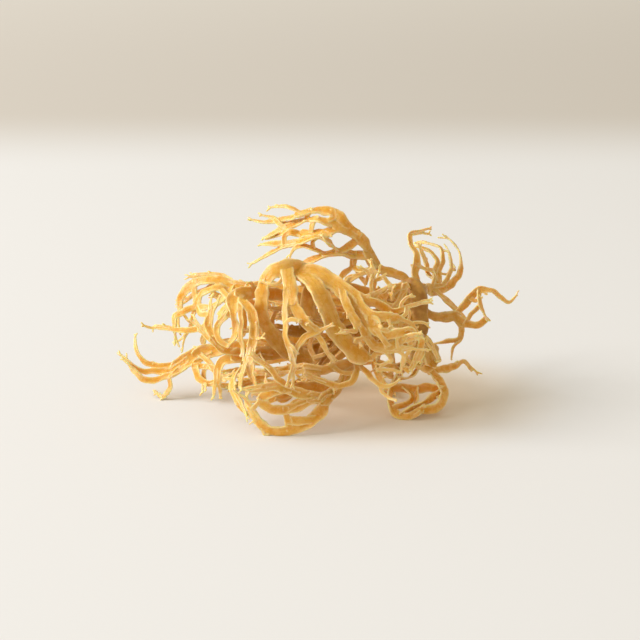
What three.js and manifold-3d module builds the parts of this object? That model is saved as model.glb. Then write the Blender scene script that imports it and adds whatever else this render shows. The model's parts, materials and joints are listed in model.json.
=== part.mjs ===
// A dried tuft of Irish moss, lying on a table: flat seaweed fronds that fork again and again,
// all grown from one small holdfast and curled round each other.
// Millimetres, +Z up, origin on the table under the middle of the tuft, front towards -Y.
import * as THREE from "three";
import { mergeVertices } from "three/addons/utils/BufferGeometryUtils.js";
import Module from "manifold-3d";

// The routes below are listed as the tuft is seen from the front, from an eye that looks down on it.
// A point is [across, up, away]: millimetres right and up in the plane through LOOKED_AT that faces
// the eye, then millimetres further from the eye than that plane.
const EYE_DISTANCE = 420;
const LOOK_DOWN = THREE.MathUtils.degToRad(15);
const LOOKED_AT = new THREE.Vector3(0.46, -1.37, 20.35);

// The stipe, the dark stout stem that every frond branches from, as [radius, across, up, away].
const STIPE = [
  [1.5, 19.6, 9.4, 3.8],
  [2.1, 21.5, 7.4, 3.2],
  [2.3, 22.3, 4.4, 2.6],
  [2.2, 22.4, 1.4, 2],
  [2.1, 22.8, -1.2, 1],
  [1.7, 23.6, -3.8, -0.8],
];
const STIPE_SIDES = 9;
const STIPE_PARTS = 10;

// How far the stipe's last two sections are drawn in at each end, as shares of the radius.
const STIPE_ENDS = [0.35, 0.8];

// The space round the stipe that every frond's root is cut back to.
const ROOT_GAP = 0.35;

// Blade thickness is THIN plus THICKER times the width, so broad blades are stouter.
const THIN = 0.62;
const THICKER = 0.09;
const STATION_STEP = 3;
const TABLE_CLEAR = 0.4;

// A blade that ends nearer than this to an earlier one of its frond lies on it and closes a loop.
const MEETS = 1.5;

// A blade that leaves another at a wider turn than this cosine is a side shoot. Its root is sunk
// into the other by a share of that one's width, and is a share of its own width.
const SIDE_SHOOT = 0.35;
const SIDE_SUNK = 0.3;
const SHOOT_ROOT = 0.8;

// A free end wider than TIP_WIDTH forks into two by this rule, as many times over as its frond says.
// Widths are shares of the end's, lengths are in widths, and angles in radians. In brackets are the
// least that a draw gives, and how much more it may give.
const TIP_WIDTH = 0.8;
const TIP_END = 0.45;
const TINE_ROOT = 0.8;
const TINE_NARROWS = 0.75;
const TINE_TURN = [0.385, 0.33];
const TINE_LENGTH = [1.76, 1.54];
const TINE_CURL = [-0.315, 0.9];
const TINE_BENDS_BACK = 0.9;
const TINE_PARTS = 2;

// How far blades twist, how quickly along each axis, and how much each frond's twist is out of step
// with the one before. OUTWARDS is how much flat sides look out from the tuft's heart.
const TWIST = 0.55;
const TWIST_WAVE = new THREE.Vector3(0.31, 0.27, -0.23);
const TWIST_STEP = 1.7;
const OUTWARDS = 0.7;
const HEART = new THREE.Vector3(2, -2, 0);

// Blades lean clear of each other by this rule. GIRTH is the room to each side that a blade needs,
// in widths. Stations within KIN_STEPS of each other along a frond don't push each other. SMOOTHING
// is how far each goes along with its neighbours, in the first half of the rounds and in the second.
const CLEAR_ROUNDS = 300;
const CLEAR_GAP = 0.6;
const MOST_PUSH = 0.5;
const GIRTH = 0.4;
const KIN_STEPS = 4;
const SMOOTHING = [0.4, 0.1];

// The side of the block under the table's surface, which nothing may reach into.
const TABLE = 300;

// Each frond has the way its flat side looks, then its blades. A blade is
// [width at its root, width at its end, point, point, ...]. The first blade's first point is its place
// on the holdfast, and each later blade starts from the nearest point of the blades before it.
const FRONDS = {
  upper_left: {
    face: [0.1, 0.1, -1.1],
    forks: 0,
    blades: [
      [1.6, 3.4, [21, 8.2, 3.4], [18, 10.6, 5.2], [14, 11.6, 7], [12.5, 13.4, 7], [11.3, 15.3, 6.5]],
      [3.0, 2.6, [11.3, 15.3, 6.5], [10.5, 17.5, 6], [8.9, 19.4, 5.5], [6.6, 20.9, 5]],
      [2.7, 2.5, [6.6, 20.9, 5], [5.4, 22.9, 5], [3.6, 24.6, 5.5], [0.8, 25.4, 6], [-2.2, 25.2, 7],
        [-4.8, 24.5, 8]],
      [1.2, 0.7, [-4.8, 24.5, 8], [-6.4, 25.8, 9], [-8.6, 26.2, 10.5], [-11.6, 25.9, 12]],
      [1.7, 0.9, [-4.8, 24.5, 8], [-7.2, 23.5, 9], [-10, 22.9, 10.5], [-13.2, 22.6, 12], [-16, 23.1, 13]],
      [2.6, 2.3, [6.6, 20.9, 5], [4.2, 21.4, 4.5], [2, 22.6, 4.5], [-0.6, 23.4, 5.5], [-3, 23.2, 6.5],
        [-5.6, 22.3, 8]],
      [1.2, 0.8, [-5.6, 22.3, 8], [-8.2, 22.2, 9.5], [-11, 23.6, 11], [-13.8, 24.2, 12]],
      [1.9, 1.2, [-5.6, 22.3, 8], [-8.2, 21.2, 9], [-10.2, 20.3, 10], [-12.8, 18.8, 11.5]],
      [2.7, 2.5, [4.2, 21.4, 4.5], [2.3, 20.6, 4], [0.2, 20, 4], [-2.4, 20, 5], [-5, 19.8, 6.5]],
      [2.0, 1.2, [-5, 19.8, 6.5], [-7.4, 20.3, 8], [-9.6, 19.8, 9.5], [-11.6, 19, 11],
        [-13.4, 17.9, 12.5]],
      [3.0, 2.8, [11.3, 15.3, 6.5], [9.2, 14.8, 6.5], [6.8, 15.3, 6], [4.4, 15.8, 5]],
      [2.6, 2.4, [4.4, 15.8, 5], [2.9, 17.4, 4], [1.2, 18.7, 3.5], [-0.8, 19.3, 3.5], [-2.8, 18.5, 4.5]],
      [2.2, 1.4, [-2.8, 18.5, 4.5], [-5.2, 17.8, 6], [-8, 17.3, 7.5], [-11, 17.6, 9],
        [-13.8, 17.3, 10.5]],
      [2.5, 1.7, [4.4, 15.8, 5], [2, 15.3, 4], [-0.4, 14.5, 4], [-2.6, 13.5, 4.5], [-4.8, 12.8, 5.5]],
      [1.6, 1.3, [2, 15.3, 4], [0, 15.8, 3.5], [-2, 16.5, 4], [-4.2, 17.1, 5.2]],
      [1.0, 0.7, [-4.2, 17.1, 5.2], [-5.8, 16.4, 6], [-6.9, 14.8, 7]],
      [1.4, 0.9, [-8, 17.3, 7.5], [-10.2, 16, 9], [-12.6, 14.7, 10.5], [-14.4, 13.4, 11.5],
        [-16, 12.8, 12]],
      [1.9, 1.8, [8.9, 19.4, 5.5], [7.6, 17.7, 5.5], [5.4, 16.2, 5]],
      [1.7, 1.3, [9.2, 14.8, 6.5], [7.8, 12.6, 5.5], [5.9, 11, 5], [4.4, 9.6, 4.5], [4, 8, 4]],
      [1.3, 1.0, [7.8, 12.6, 5.5], [8.8, 11.2, 5], [9.3, 9.6, 5], [10.4, 8.2, 5]],
      [1.4, 1.0, [12.5, 13.4, 7], [11.4, 11.6, 3], [9.6, 10.5, 0.5], [7.4, 9.4, -1], [5.4, 7.6, -1.5]],
      [1.5, 1.3, [3.6, 24.6, 5.5], [3.2, 23.6, 5], [2, 22.6, 4.5]],
      [1.4, 1.2, [-2.2, 25.2, 7], [-2.8, 24.2, 6.8], [-3, 23.2, 6.5]],
      [1.4, 1.2, [-0.6, 23.4, 5.5], [-1.8, 22, 5], [-2.4, 20, 5]],
      [1.5, 1.3, [2.3, 20.6, 4], [2, 19.6, 3.8], [1.2, 18.7, 3.5]],
      [1.3, 1.1, [-8.2, 21.2, 9], [-9.4, 22.2, 10], [-11, 23.6, 11]],
      [1.3, 1.1, [-7.4, 20.3, 8], [-8.2, 19, 7.8], [-8, 17.3, 7.5]],
      [1.3, 1.1, [-0.8, 19.3, 3.5], [-1.8, 18, 3.8], [-2, 16.5, 4]],
    ],
  },
  upper_right: {
    face: [0.3, -0.1, -1],
    blades: [
      [1.6, 3.2, [22, 6.2, 3], [24.6, 7.2, 6.4], [25, 7, 11.5], [26.2, 7, 15]],
      [2.4, 2.0, [24.6, 7.2, 6.4], [22.6, 8.6, 13], [21.8, 10.6, 15], [22.2, 12.6, 17]],
      [1.6, 1.0, [22.2, 12.6, 17], [22.2, 14.8, 18], [21.1, 17, 19], [20.4, 18.9, 20], [21.4, 20.2, 21],
        [23.2, 20.2, 22]],
      [1.2, 0.9, [22.2, 12.6, 17], [24.4, 11.7, 18], [26.8, 11.2, 19]],
      [2.6, 2.2, [26.2, 7, 15], [26.8, 9, 17], [27.2, 11, 19]],
      [1.6, 1.0, [27.2, 11, 19], [27, 13.4, 20], [25.8, 15.2, 21], [24.2, 16.4, 22], [22.8, 16.8, 23]],
      [1.4, 1.0, [27.2, 11, 19], [28.2, 13.6, 21], [28, 16, 22], [26.6, 17.5, 23], [24.8, 17.6, 24]],
      [2.2, 1.6, [26.2, 7, 15], [28.6, 7.5, 17], [30.8, 8.8, 20], [32.2, 11.4, 22]],
      [1.2, 0.8, [32.2, 11.4, 22], [32.4, 14, 23], [31.6, 16.6, 24], [30.2, 18.2, 24.5]],
      [2.4, 1.8, [26.2, 7, 15], [28, 5.6, 14], [29.6, 4.2, 13.5], [31, 2.8, 13.5]],
      [1.6, 1.2, [24.6, 7.2, 6.4], [23.8, 4.4, 10.5], [24.2, 2.4, 12], [24.6, 0.2, 13]],
      [1.4, 1.0, [26.8, 9, 17], [24.9, 10.4, 18.4], [24.4, 13, 19.8], [23.6, 15, 21.4]],
      [1.4, 1.0, [28.6, 7.5, 17], [29.4, 10, 19], [30.2, 12.6, 21], [29.8, 15, 22.5]],
    ],
  },
  right: {
    face: [0.2, 0, -1],
    forks: 0,
    blades: [
      [1.6, 2.8, [22.4, 3, 2.4], [25.4, 1.2, 5], [28.8, 0.5, 8], [31, 0.9, 9]],
      [2.0, 1.8, [31, 0.9, 9], [32.6, 2.6, 9], [34, 4.2, 8.5], [35, 5.9, 8], [36.6, 6.9, 8]],
      [1.4, 0.8, [36.6, 6.9, 8], [38.8, 6.9, 8], [40.8, 6, 8.5], [42, 4.6, 9], [43.4, 4.1, 9.5],
        [45.3, 5.8, 10.5]],
      [1.3, 1.1, [36.6, 6.9, 8], [37, 5, 7.3], [36.9, 3, 7], [37.6, 1.4, 7], [38.3, 0.3, 7.3]],
      [2.2, 1.5, [31, 0.9, 9], [33, -0.6, 9], [35.4, -1.2, 8.5], [37.4, -0.9, 8], [38.3, 0.3, 7.3]],
      [1.3, 1.0, [33, -0.6, 9], [34.4, 1.1, 8.8], [35.8, 1.5, 8], [37, 2.1, 7.2]],
      [1.2, 0.9, [34, 4.2, 8.5], [35.6, 4.4, 8], [36.9, 5.2, 7.4]],
      [1.5, 1.1, [31, 0.9, 9], [32.8, -2.2, 9.5], [33, -3.6, 10], [31.2, -4.6, 10.5], [28.6, -5, 11],
        [26.6, -5.4, 12]],
      [1.0, 0.7, [31.2, -4.6, 10.5], [30.4, -6.8, 11], [30.2, -9, 11.5]],
    ],
  },
  lower_right: {
    face: [0.3, 0, -1],
    blades: [
      [1.6, 2.8, [22.8, -1.4, 1], [22.4, -4, 4.8], [21.4, -6.6, 6], [20.4, -9.4, 5.5]],
      [2.7, 2.2, [20.4, -9.4, 5.5], [18.4, -12, 4], [17, -14.8, 2], [16.2, -17.6, 0], [16.8, -20.2, -2]],
      [2.1, 1.7, [16.8, -20.2, -2], [18.6, -22.2, -3.2], [21, -22, -3.2], [23, -20.8, -2.4]],
      [2.7, 2.3, [20.4, -9.4, 5.5], [22.8, -10.6, 5], [25.2, -11.8, 4], [27, -13.6, 3], [28.3, -16, 1.5],
        [28.2, -18.4, 0], [26.6, -20.4, -1.8], [24.4, -21.3, -2.6]],
      [2.3, 2.0, [17, -14.8, 2], [19.6, -15.7, 2], [22.6, -15.9, 2], [25.4, -15.5, 2], [27.8, -15.2, 2]],
      [1.7, 1.4, [19.6, -15.7, 2], [21.2, -17.4, 0.5], [20.4, -19, -1], [18, -20, -2]],
      [1.8, 1.5, [28.3, -16, 1.5], [26, -17.6, 0], [23.8, -19.2, -1], [21.2, -20.4, -2],
        [18.8, -22, -3.2]],
      [2.2, 1.6, [25.2, -11.8, 4], [27.6, -11.2, 5.5], [29.8, -11.6, 7], [31, -10.6, 8]],
      [1.2, 0.8, [31, -10.6, 8], [32.4, -10, 8.5], [33.6, -9.4, 9], [34.6, -11, 9.5]],
      [1.7, 1.3, [21.4, -6.6, 6], [19.4, -5.8, 4.6], [17, -5.6, 3.6], [14.6, -6, 3], [13.4, -7.6, 2.5],
        [13.2, -9.6, 2]],
      [1.4, 1.2, [17, -5.6, 3.6], [16.5, -7.8, 3.4], [16.8, -10.2, 3.4]],
      [1.5, 1.3, [20.4, -9.4, 5.5], [19, -10.4, 4.6], [16.8, -10.2, 3.4], [14.8, -10.4, 2.4],
        [13.2, -9.6, 2]],
      [1.8, 1.5, [22.8, -10.6, 5], [21.8, -12.4, 4], [20, -13.6, 3], [17.6, -13.6, 2.8]],
      [1.4, 1.2, [22.6, -15.9, 2], [22.4, -17.8, 0.6], [21.2, -20.4, -2]],
    ],
  },
  right_cup: {
    face: [0, 0.3, -2.4],
    blades: [
      [1.6, 5.4, [23.3, -2.8, -0.2], [24.2, -4.2, -4.4], [24.8, -5.6, -7.4], [25.2, -7.4, -9]],
      [6.0, 4.2, [25.2, -7.4, -9], [25.2, -9, -10], [24.8, -10.6, -10.6]],
      [1.5, 1.0, [25.2, -9, -10], [27.2, -9.6, -12], [27.6, -8, -13], [26.2, -7, -13]],
      [1.3, 0.9, [24.8, -10.6, -10.6], [23.4, -11.2, -12], [22, -10.6, -12.6]],
    ],
  },
  front_arch: {
    face: [-0.1, 0, -1],
    blades: [
      [1.8, 5.0, [22, 6.4, 3], [18, 5.6, 0.6], [12.5, 6, -2.5], [7.5, 6.8, -5], [2.6, 8.2, -8.5],
        [-1.4, 10, -11.5], [-5, 11.4, -14], [-7.6, 11.8, -15.8]],
      [4.0, 4.8, [-5, 11.4, -14], [-2, 9.2, -17.5], [0.3, 6, -19.5], [1.7, 2.8, -20.3],
        [2.9, -0.4, -20.6], [4.8, -3.6, -20.6], [7, -6.2, -20.2], [9.4, -8, -19.4]],
      [1.9, 1.4, [9.4, -8, -19.4], [11.2, -8.9, -18.8], [12.3, -8, -18.3], [12, -6.6, -18]],
      [3.2, 3.4, [-7.6, 11.8, -15.8], [-7.2, 9.6, -17.6], [-6.8, 7.2, -18.9], [-6.9, 4.8, -19.8]],
      [2.7, 2.4, [-6.9, 4.8, -19.8], [-5.6, 2.6, -20.6], [-4.2, 0.5, -21.2], [-2.6, -1.4, -21.5],
        [-0.8, -2.8, -21.6]],
      [1.6, 1.3, [-6.9, 4.8, -19.8], [-8, 2.4, -20.3], [-8, -0.2, -20.7], [-7.9, -2.6, -21.1],
        [-7.6, -5, -21.2], [-6.8, -7.2, -21.2], [-6.2, -9.6, -21]],
      [1.7, 1.0, [-0.8, -2.8, -21.6], [0.2, -4.6, -21.6], [1.1, -6, -21.2], [1.7, -7.4, -20.8]],
      [1.2, 0.6, [-0.8, -2.8, -21.6], [0.8, -2, -22.2], [2.5, -1.2, -22.8]],
      [1.6, 1.3, [-0.8, -2.8, -21.6], [-3.2, -3.8, -21.6], [-4.9, -5.6, -21.4], [-5.8, -7.8, -21.2],
        [-6.2, -9.6, -21]],
      [1.5, 1.2, [-6.2, -9.6, -21], [-6.1, -10.8, -21], [-6.4, -12, -21]],
      [1.1, 0.9, [-8, -0.2, -20.7], [-6.4, 0.2, -21.4], [-4.8, -0.2, -21.4]],
      [3.6, 3.2, [-7.6, 11.8, -15.8], [-10.6, 11.3, -16], [-12.7, 9.2, -15.5], [-13.4, 6.4, -15],
        [-13.6, 3.2, -14.3], [-13.2, 0.2, -13]],
      [3.2, 4.8, [-13.2, 0.2, -13], [-11.8, -2.4, -11.5], [-9.8, -4.8, -10.8], [-7, -7.2, -10.8],
        [-3.6, -8.8, -11]],
      [1.8, 1.2, [-3.6, -8.8, -11], [-1.2, -9.2, -12], [0.8, -8.2, -13], [0.4, -6.8, -13.5]],
      [3.0, 4.2, [-1.4, 10, -11.5], [-2.2, 7.4, -12.8], [-2.8, 4.2, -12.8], [-2.6, 1, -12.2],
        [-1, -1.8, -11.8]],
      [1.6, 1.0, [-1, -1.8, -11.8], [-1.9, -4.6, -13], [-2.2, -7.2, -14.4], [-0.6, -9, -15.4],
        [0.8, -8, -15.8]],
      [3.0, 4.4, [-5, 11.4, -14], [-1.6, 11.4, -15.6], [1.6, 9.8, -17], [4.6, 7.4, -18],
        [7.6, 4.8, -18.6]],
      [3.4, 2.8, [7.6, 4.8, -18.6], [9.4, 2.2, -19], [11.2, -0.4, -19.5]],
      [2.4, 2.0, [7.6, 4.8, -18.6], [10.4, 4.6, -18.8], [13, 4, -18.5], [15, 2.6, -18.5],
        [16.6, 1.8, -18.2]],
      [1.3, 0.9, [16.6, 1.8, -18.2], [18.4, 2.7, -18], [20.6, 3.1, -17.5], [22.2, 3, -17],
        [23.1, 3.9, -16.5]],
      [2.6, 2.2, [9.4, 2.2, -19], [11.6, 1.2, -19.5], [14, 0.8, -19.5], [16.4, 0.7, -19],
        [18.4, 0.4, -18.5]],
      [1.2, 0.9, [18.4, 0.4, -18.5], [19.6, 1.6, -18], [20.1, 2.9, -17.5]],
      [2.8, 2.4, [11.2, -0.4, -19.5], [13.2, -2.6, -19.5], [15.6, -3.2, -19.2], [18, -3, -18.5]],
      [1.5, 1.2, [15.6, -3.2, -19.2], [16.6, -1.5, -19], [17.8, -1.3, -18.5], [19.2, -1.2, -18]],
      [2.2, 1.9, [11.2, -0.4, -19.5], [10.4, -3, -19.2], [11.8, -5.4, -19], [14, -6.2, -18.8],
        [16.6, -5.8, -18.5], [18.8, -4.6, -18]],
      [1.8, 1.4, [18, -3, -18.5], [20.4, -3, -18], [22.6, -3.9, -17.5], [23.7, -5.2, -17],
        [22.8, -7, -16.8], [22, -9, -16.5]],
      [1.6, 1.3, [14, -6.2, -18.8], [16.4, -7.2, -18.4], [18.9, -6.6, -18], [20.8, -6.4, -17.5]],
      [1.2, 0.9, [16.4, -7.2, -18.4], [16.5, -8.8, -18], [16.2, -10.2, -17.5], [14.4, -10.3, -17.5]],
      [1.1, 0.9, [18.9, -6.6, -18], [19.3, -8.4, -17.5], [19.1, -10, -17]],
      [2.2, 1.8, [4.6, 7.4, -18], [5.8, 4.4, -19.4], [7.4, 1, -20], [8.9, -1.4, -20], [10.4, -3, -19.2]],
      [1.2, 1.0, [8.9, -1.4, -20], [8.2, -2.8, -20.6], [7.2, -2.6, -21]],
      [1.4, 1.2, [13.2, -2.6, -19.5], [14.6, -4.6, -19.6], [16.6, -5.8, -18.5]],
      [1.2, 0.9, [18.4, 0.4, -18.5], [20, -0.6, -18.4], [21.8, -1.6, -18], [23.6, -3.4, -17.4]],
    ],
  },
  sprig: {
    face: [0.2, -0.2, -1],
    blades: [
      [1.5, 2.0, [21.4, 7.6, 3.2], [18.8, 8, -1.6], [15.2, 5.4, -5], [12.8, 5.4, -10], [12, 7, -13],
        [12.1, 9, -13.8]],
      [1.3, 0.8, [12.1, 9, -13.8], [12.5, 10.6, -14.2], [12.1, 12, -14.6]],
      [1.0, 0.7, [12.5, 10.6, -14.2], [11.4, 11.2, -14.5], [10.2, 11.4, -14.6], [9.4, 12.1, -14.8]],
      [0.9, 0.6, [12.5, 10.6, -14.2], [13.3, 11.6, -14.8]],
      [1.3, 1.0, [12.1, 9, -13.8], [13.4, 9.9, -14], [15.2, 9.7, -14], [16.2, 8.6, -13.8],
        [15.5, 7.2, -13.6], [13.9, 6.7, -13.3]],
      [2.4, 2.0, [15.2, 5.4, -5], [16.6, 5.6, -7.5], [17, 7.2, -8.5], [17.8, 8.4, -8.5], [19.4, 8, -8.5],
        [19.8, 6.6, -8], [18.8, 5.4, -7.6]],
    ],
  },
  front_middle: {
    face: [0, 0.2, -1.1],
    blades: [
      [1.6, 2.8, [22.4, 1.4, 2], [18.8, 0.2, -1.4], [14, -2.6, -6], [11.2, -6, -10.5],
        [8.6, -9.6, -14.2]],
      [2.6, 2.2, [8.6, -9.6, -14.2], [5.4, -10.3, -16.2], [2, -11.2, -17.5], [-0.6, -11.5, -18],
        [-3, -11.1, -18]],
      [1.8, 1.3, [8.6, -9.6, -14.2], [8.3, -12, -16], [7.2, -14.2, -17], [4.8, -15.1, -17.6],
        [2.2, -14.6, -18], [0, -13.7, -18.3], [-1.4, -13.3, -18.4]],
      [1.3, 1.0, [2, -11.2, -17.5], [4, -12.3, -17.5], [6.2, -12, -17], [8.2, -11.6, -16]],
      [1.8, 0.7, [8.6, -9.6, -14.2], [10.4, -11.6, -15.5], [12, -13.6, -16.3], [14.4, -15.1, -16.6],
        [16.8, -15.2, -16.4], [18.2, -13.9, -16]],
    ],
  },
  front_low: {
    face: [0, 0.1, -1.1],
    blades: [
      [1.6, 3.2, [22.8, -1, 1], [19, -2.4, -0.2], [13.8, -5, -2], [9.4, -8, -5], [6, -13, -9],
        [3.2, -16.4, -12.5], [0.8, -18.2, -14.8]],
      [3.0, 1.8, [0.8, -18.2, -14.8], [-2.2, -17.8, -16], [-5, -16.7, -17.3], [-8, -15.7, -18.2],
        [-10.6, -15.3, -19.4], [-12.8, -15.6, -20.6]],
      [2.4, 2.3, [-2.2, -18.3, -16], [-5, -19.9, -16.8], [-8.4, -20.7, -17.4], [-11.6, -20.3, -17.8],
        [-14, -18.8, -18]],
      [3.4, 2.2, [0.8, -18.2, -14.8], [0.6, -20.4, -15], [-1.4, -22.6, -15.8], [-4.4, -24.2, -16.4],
        [-8.2, -25.8, -16.8], [-11.6, -25.4, -16.8], [-14.2, -23.4, -17], [-15.9, -20.6, -17.4]],
      [1.9, 1.6, [-8.4, -20.7, -17.4], [-7.6, -22.8, -17.2], [-6.4, -25, -16.8]],
      [1.3, 0.9, [-14, -18.8, -18], [-15.2, -20.2, -17.8], [-16.6, -20.8, -17.4]],
      [1.6, 1.2, [-8, -15.9, -18.2], [-9.4, -13.7, -19], [-11, -11.8, -19.2], [-12.6, -10.2, -19],
        [-14.2, -9.2, -18.8]],
      [3.0, 1.6, [9.4, -8, -5], [7.6, -5.4, -8.5], [5.4, -3, -10.5], [2.8, -2, -12]],
      [3.6, 2.6, [3.2, -16.4, -12.5], [-1, -15.6, -12.4], [-5, -16, -12.8], [-9, -17.2, -13.4]],
      [2.4, 2.2, [-8, -15.7, -18.2], [-11, -16.4, -18.6], [-12.8, -17.6, -18.4], [-14, -18.8, -18]],
      [1.8, 1.6, [-2.2, -18.3, -16], [-4.2, -18.6, -16.4], [-6.4, -19.6, -17], [-8.4, -20.7, -17.4]],
      [2.2, 2.0, [-1.4, -22.6, -15.8], [-3.2, -22.9, -16.4], [-5.4, -23.3, -16.9], [-7.6, -22.8, -17.2]],
    ],
  },
  left_front: {
    face: [-0.4, -0.1, -1],
    blades: [
      [1.6, 3.4, [22.2, 5.4, 3], [18.6, 5, 3.6], [9, 3.8, 1], [1, 4.2, -1], [-7, 5.4, -3.5],
        [-13.6, 6.4, -7], [-18, 5.8, -10], [-20, 4.4, -12]],
      [2.0, 1.4, [1, 4.2, -1], [-3, 1.6, 0.5], [-8, 0.6, 1.5], [-13, 1.4, 2]],
      [2.3, 2.3, [-18, 5.8, -10], [-17.4, 4, -13], [-15.8, 1.8, -14.5], [-15.1, -0.8, -15.5],
        [-15.1, -3.8, -16], [-15.8, -6.8, -16.4], [-16.2, -9.6, -16.8], [-15.9, -12.2, -17]],
      [1.8, 1.3, [-20, 4.4, -12], [-20.1, 2.2, -13], [-19.6, -0.2, -13.5], [-19.4, -2.6, -14],
        [-20, -4.8, -14.3], [-21.6, -5.9, -14.3], [-23.2, -4.6, -14], [-23.9, -2.4, -13.6],
        [-23.1, -0.4, -13.2], [-22, 0.6, -13]],
      [1.3, 1.0, [-18.6, 5, -11.5], [-18.4, 2.6, -14.2], [-18, 0.4, -15], [-18.2, -2, -15.2],
        [-18.4, -4.4, -15.2], [-17.8, -6, -15]],
      [1.6, 0.7, [-16.2, -9.6, -16.8], [-17.7, -11.4, -17], [-18.2, -14, -17], [-18.4, -16.2, -17],
        [-17.4, -17.4, -17], [-16.4, -16.6, -17]],
      [1.0, 0.7, [-15.1, -3.8, -16], [-14.2, -4.4, -17], [-13.2, -4, -17.5]],
    ],
  },
  left_middle: {
    face: [-0.5, 0, -1],
    blades: [
      [1.6, 3.4, [22.4, 2.2, 2.2], [18.8, 1.6, 2.8], [9, -3, 1], [1, -6.4, -1], [-7, -7.6, -3],
        [-14, -7.8, -5.5], [-19.2, -8.2, -8]],
      [2.0, 1.4, [1, -6.4, -1], [-4, -9.6, 0.5], [-9, -11.8, 1.5], [-14, -12, 2.5]],
      [1.8, 1.3, [9, -3, 1], [6, -7, 2.5], [2, -10.8, 3.5], [-2.4, -13.4, 4]],
      [2.4, 1.8, [-19.2, -8.2, -8], [-22, -9.4, -8.5], [-23.6, -11.6, -8.5], [-23.6, -14, -8.5]],
      [2.6, 2.0, [-14, -7.8, -5.5], [-18, -10.6, -9], [-20, -13.4, -11], [-20, -16.2, -12.5],
        [-18.8, -18.6, -13.5]],
      [2.2, 1.6, [-19.2, -8.2, -8], [-22.4, -6.6, -9], [-24.8, -4, -9.5], [-25.6, -1, -9.5],
        [-25, 1.8, -9]],
      [1.4, 1.0, [-24.8, -4, -9.5], [-26.8, -3, -9], [-28.2, -1.2, -8.5]],
      [1.6, 1.2, [-14, -7.8, -5.5], [-12.6, -10.4, -8], [-12.2, -12.4, -10.4], [-12.6, -13.6, -11.8]],
    ],
  },
  left_back: {
    face: [-0.3, 0.1, -1.1],
    blades: [
      [1.6, 3.4, [21.9, 6.4, 3.1], [18.4, 6.6, 5.4], [10.5, 5, 7], [3, 4.8, 7.5], [-4, 6.6, 8],
        [-10, 7, 8], [-15.6, 7.2, 8.5], [-20.4, 7.6, 9.5]],
      [2.0, 1.4, [3, 4.8, 7.5], [-1, 3.4, 11], [-6, 4, 14], [-11, 4.8, 16]],
      [2.6, 2.3, [-20.4, 7.6, 9.5], [-23.4, 8.9, 10], [-26.4, 9.3, 11], [-29, 8.5, 12],
        [-31.2, 6.6, 12.5]],
      [2.0, 1.6, [-31.2, 6.6, 12.5], [-32.4, 4.4, 13], [-32.2, 2.4, 12.6]],
      [1.4, 0.9, [-20.4, 7.6, 9.5], [-21.6, 10, 12.2], [-25, 10.6, 14], [-28, 10.4, 15]],
      [2.0, 1.6, [-20.4, 7.6, 9.5], [-23.6, 7.4, 9], [-26.4, 6.8, 9.5], [-28, 5.2, 10.5],
        [-28.4, 3.2, 11]],
      [1.7, 1.4, [-28.4, 3.2, 11], [-30.6, 2.2, 11.5], [-32.8, 1.6, 12], [-33.7, -0.2, 12],
        [-33.4, -2, 12]],
      [1.8, 1.5, [-20.4, 7.6, 9.5], [-22, 5.2, 8], [-24.2, 3.4, 8], [-26.4, 2.9, 9], [-28.4, 3.2, 11]],
      [1.8, 1.6, [-24.2, 3.4, 8], [-25.6, 1.2, 8], [-26.2, -1.4, 8], [-26.6, -3.6, 9.5], [-27, -5.4, 12]],
      [2.0, 1.4, [-15.6, 7.2, 8.5], [-18, 5.4, 6.5], [-20.6, 4, 6], [-22.8, 1.8, 6.5], [-23.4, -1, 7]],
      [1.5, 1.0, [-23.4, 8.9, 10], [-25.2, 7.8, 12], [-27.2, 6.8, 13.5], [-29.8, 5.4, 14.5]],
      [1.4, 1.0, [-28.4, 3.2, 11], [-29.3, 1, 12.5], [-29.7, -1.4, 13.2], [-31, -3.6, 13.8]],
      [1.5, 1.3, [-29, 8.5, 12], [-28.8, 6.6, 11.6], [-28.8, 4.8, 11.2], [-28.4, 3.2, 11]],
      [1.5, 1.3, [-25.6, 1.2, 8], [-27.4, 1.4, 9.4], [-29, 2, 10.8]],
      [1.6, 1.1, [-26.2, -1.4, 8], [-28.8, -2.2, 9], [-31.6, -2.3, 10], [-34.4, -2, 11],
        [-37.4, -1.6, 12]],
    ],
  },
  left_low: {
    face: [-0.2, 0.1, -1.1],
    blades: [
      [1.6, 3.6, [22.8, -0.8, 1.2], [19.2, -0.6, 4], [9, -2.4, 6], [-1, -4.4, 6], [-11, -5.2, 7],
        [-19.4, -6, 8], [-25.6, -7.2, 9], [-30, -8.8, 10], [-32.6, -10.8, 10.5]],
      [2.0, 1.4, [-1, -4.4, 6], [-5, -7, 9], [-9, -9, 12], [-14, -9.6, 13.5]],
      [2.0, 0.7, [-32.6, -10.8, 10.5], [-35.4, -10.7, 11], [-38.2, -10.5, 11.5], [-40.6, -9.4, 12],
        [-42.1, -7.2, 12.5], [-42.5, -3.6, 13.5]],
      [2.0, 0.7, [-32.6, -10.8, 10.5], [-35.6, -11.8, 10.5], [-38.8, -11.8, 11], [-41.8, -11.4, 11.5],
        [-43.6, -9.9, 12], [-46.2, -7.7, 12.5]],
      [2.0, 1.3, [-32.6, -10.8, 10.5], [-34.6, -12.8, 10], [-37.4, -13.6, 10], [-40, -13.9, 10.2],
        [-41.8, -12.9, 10.6], [-43, -11.4, 11]],
      [1.5, 1.1, [-34, -12, 10.3], [-34.2, -14.4, 10.2], [-34.8, -16.4, 10.4], [-36.4, -18, 11]],
      [1.8, 1.4, [-28, -7.8, 9.5], [-28.6, -10.4, 8], [-28.2, -12.8, 7], [-26.6, -14.4, 6],
        [-24.2, -14.6, 5], [-22.4, -13.6, 4.5]],
      [1.6, 1.3, [-28.6, -10.4, 8], [-26.2, -10.8, 7], [-24, -11.6, 6], [-22.6, -13.2, 5]],
      [1.3, 1.1, [-26.2, -10.8, 7], [-26.8, -12.6, 6.6], [-26.6, -14.4, 6]],
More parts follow.
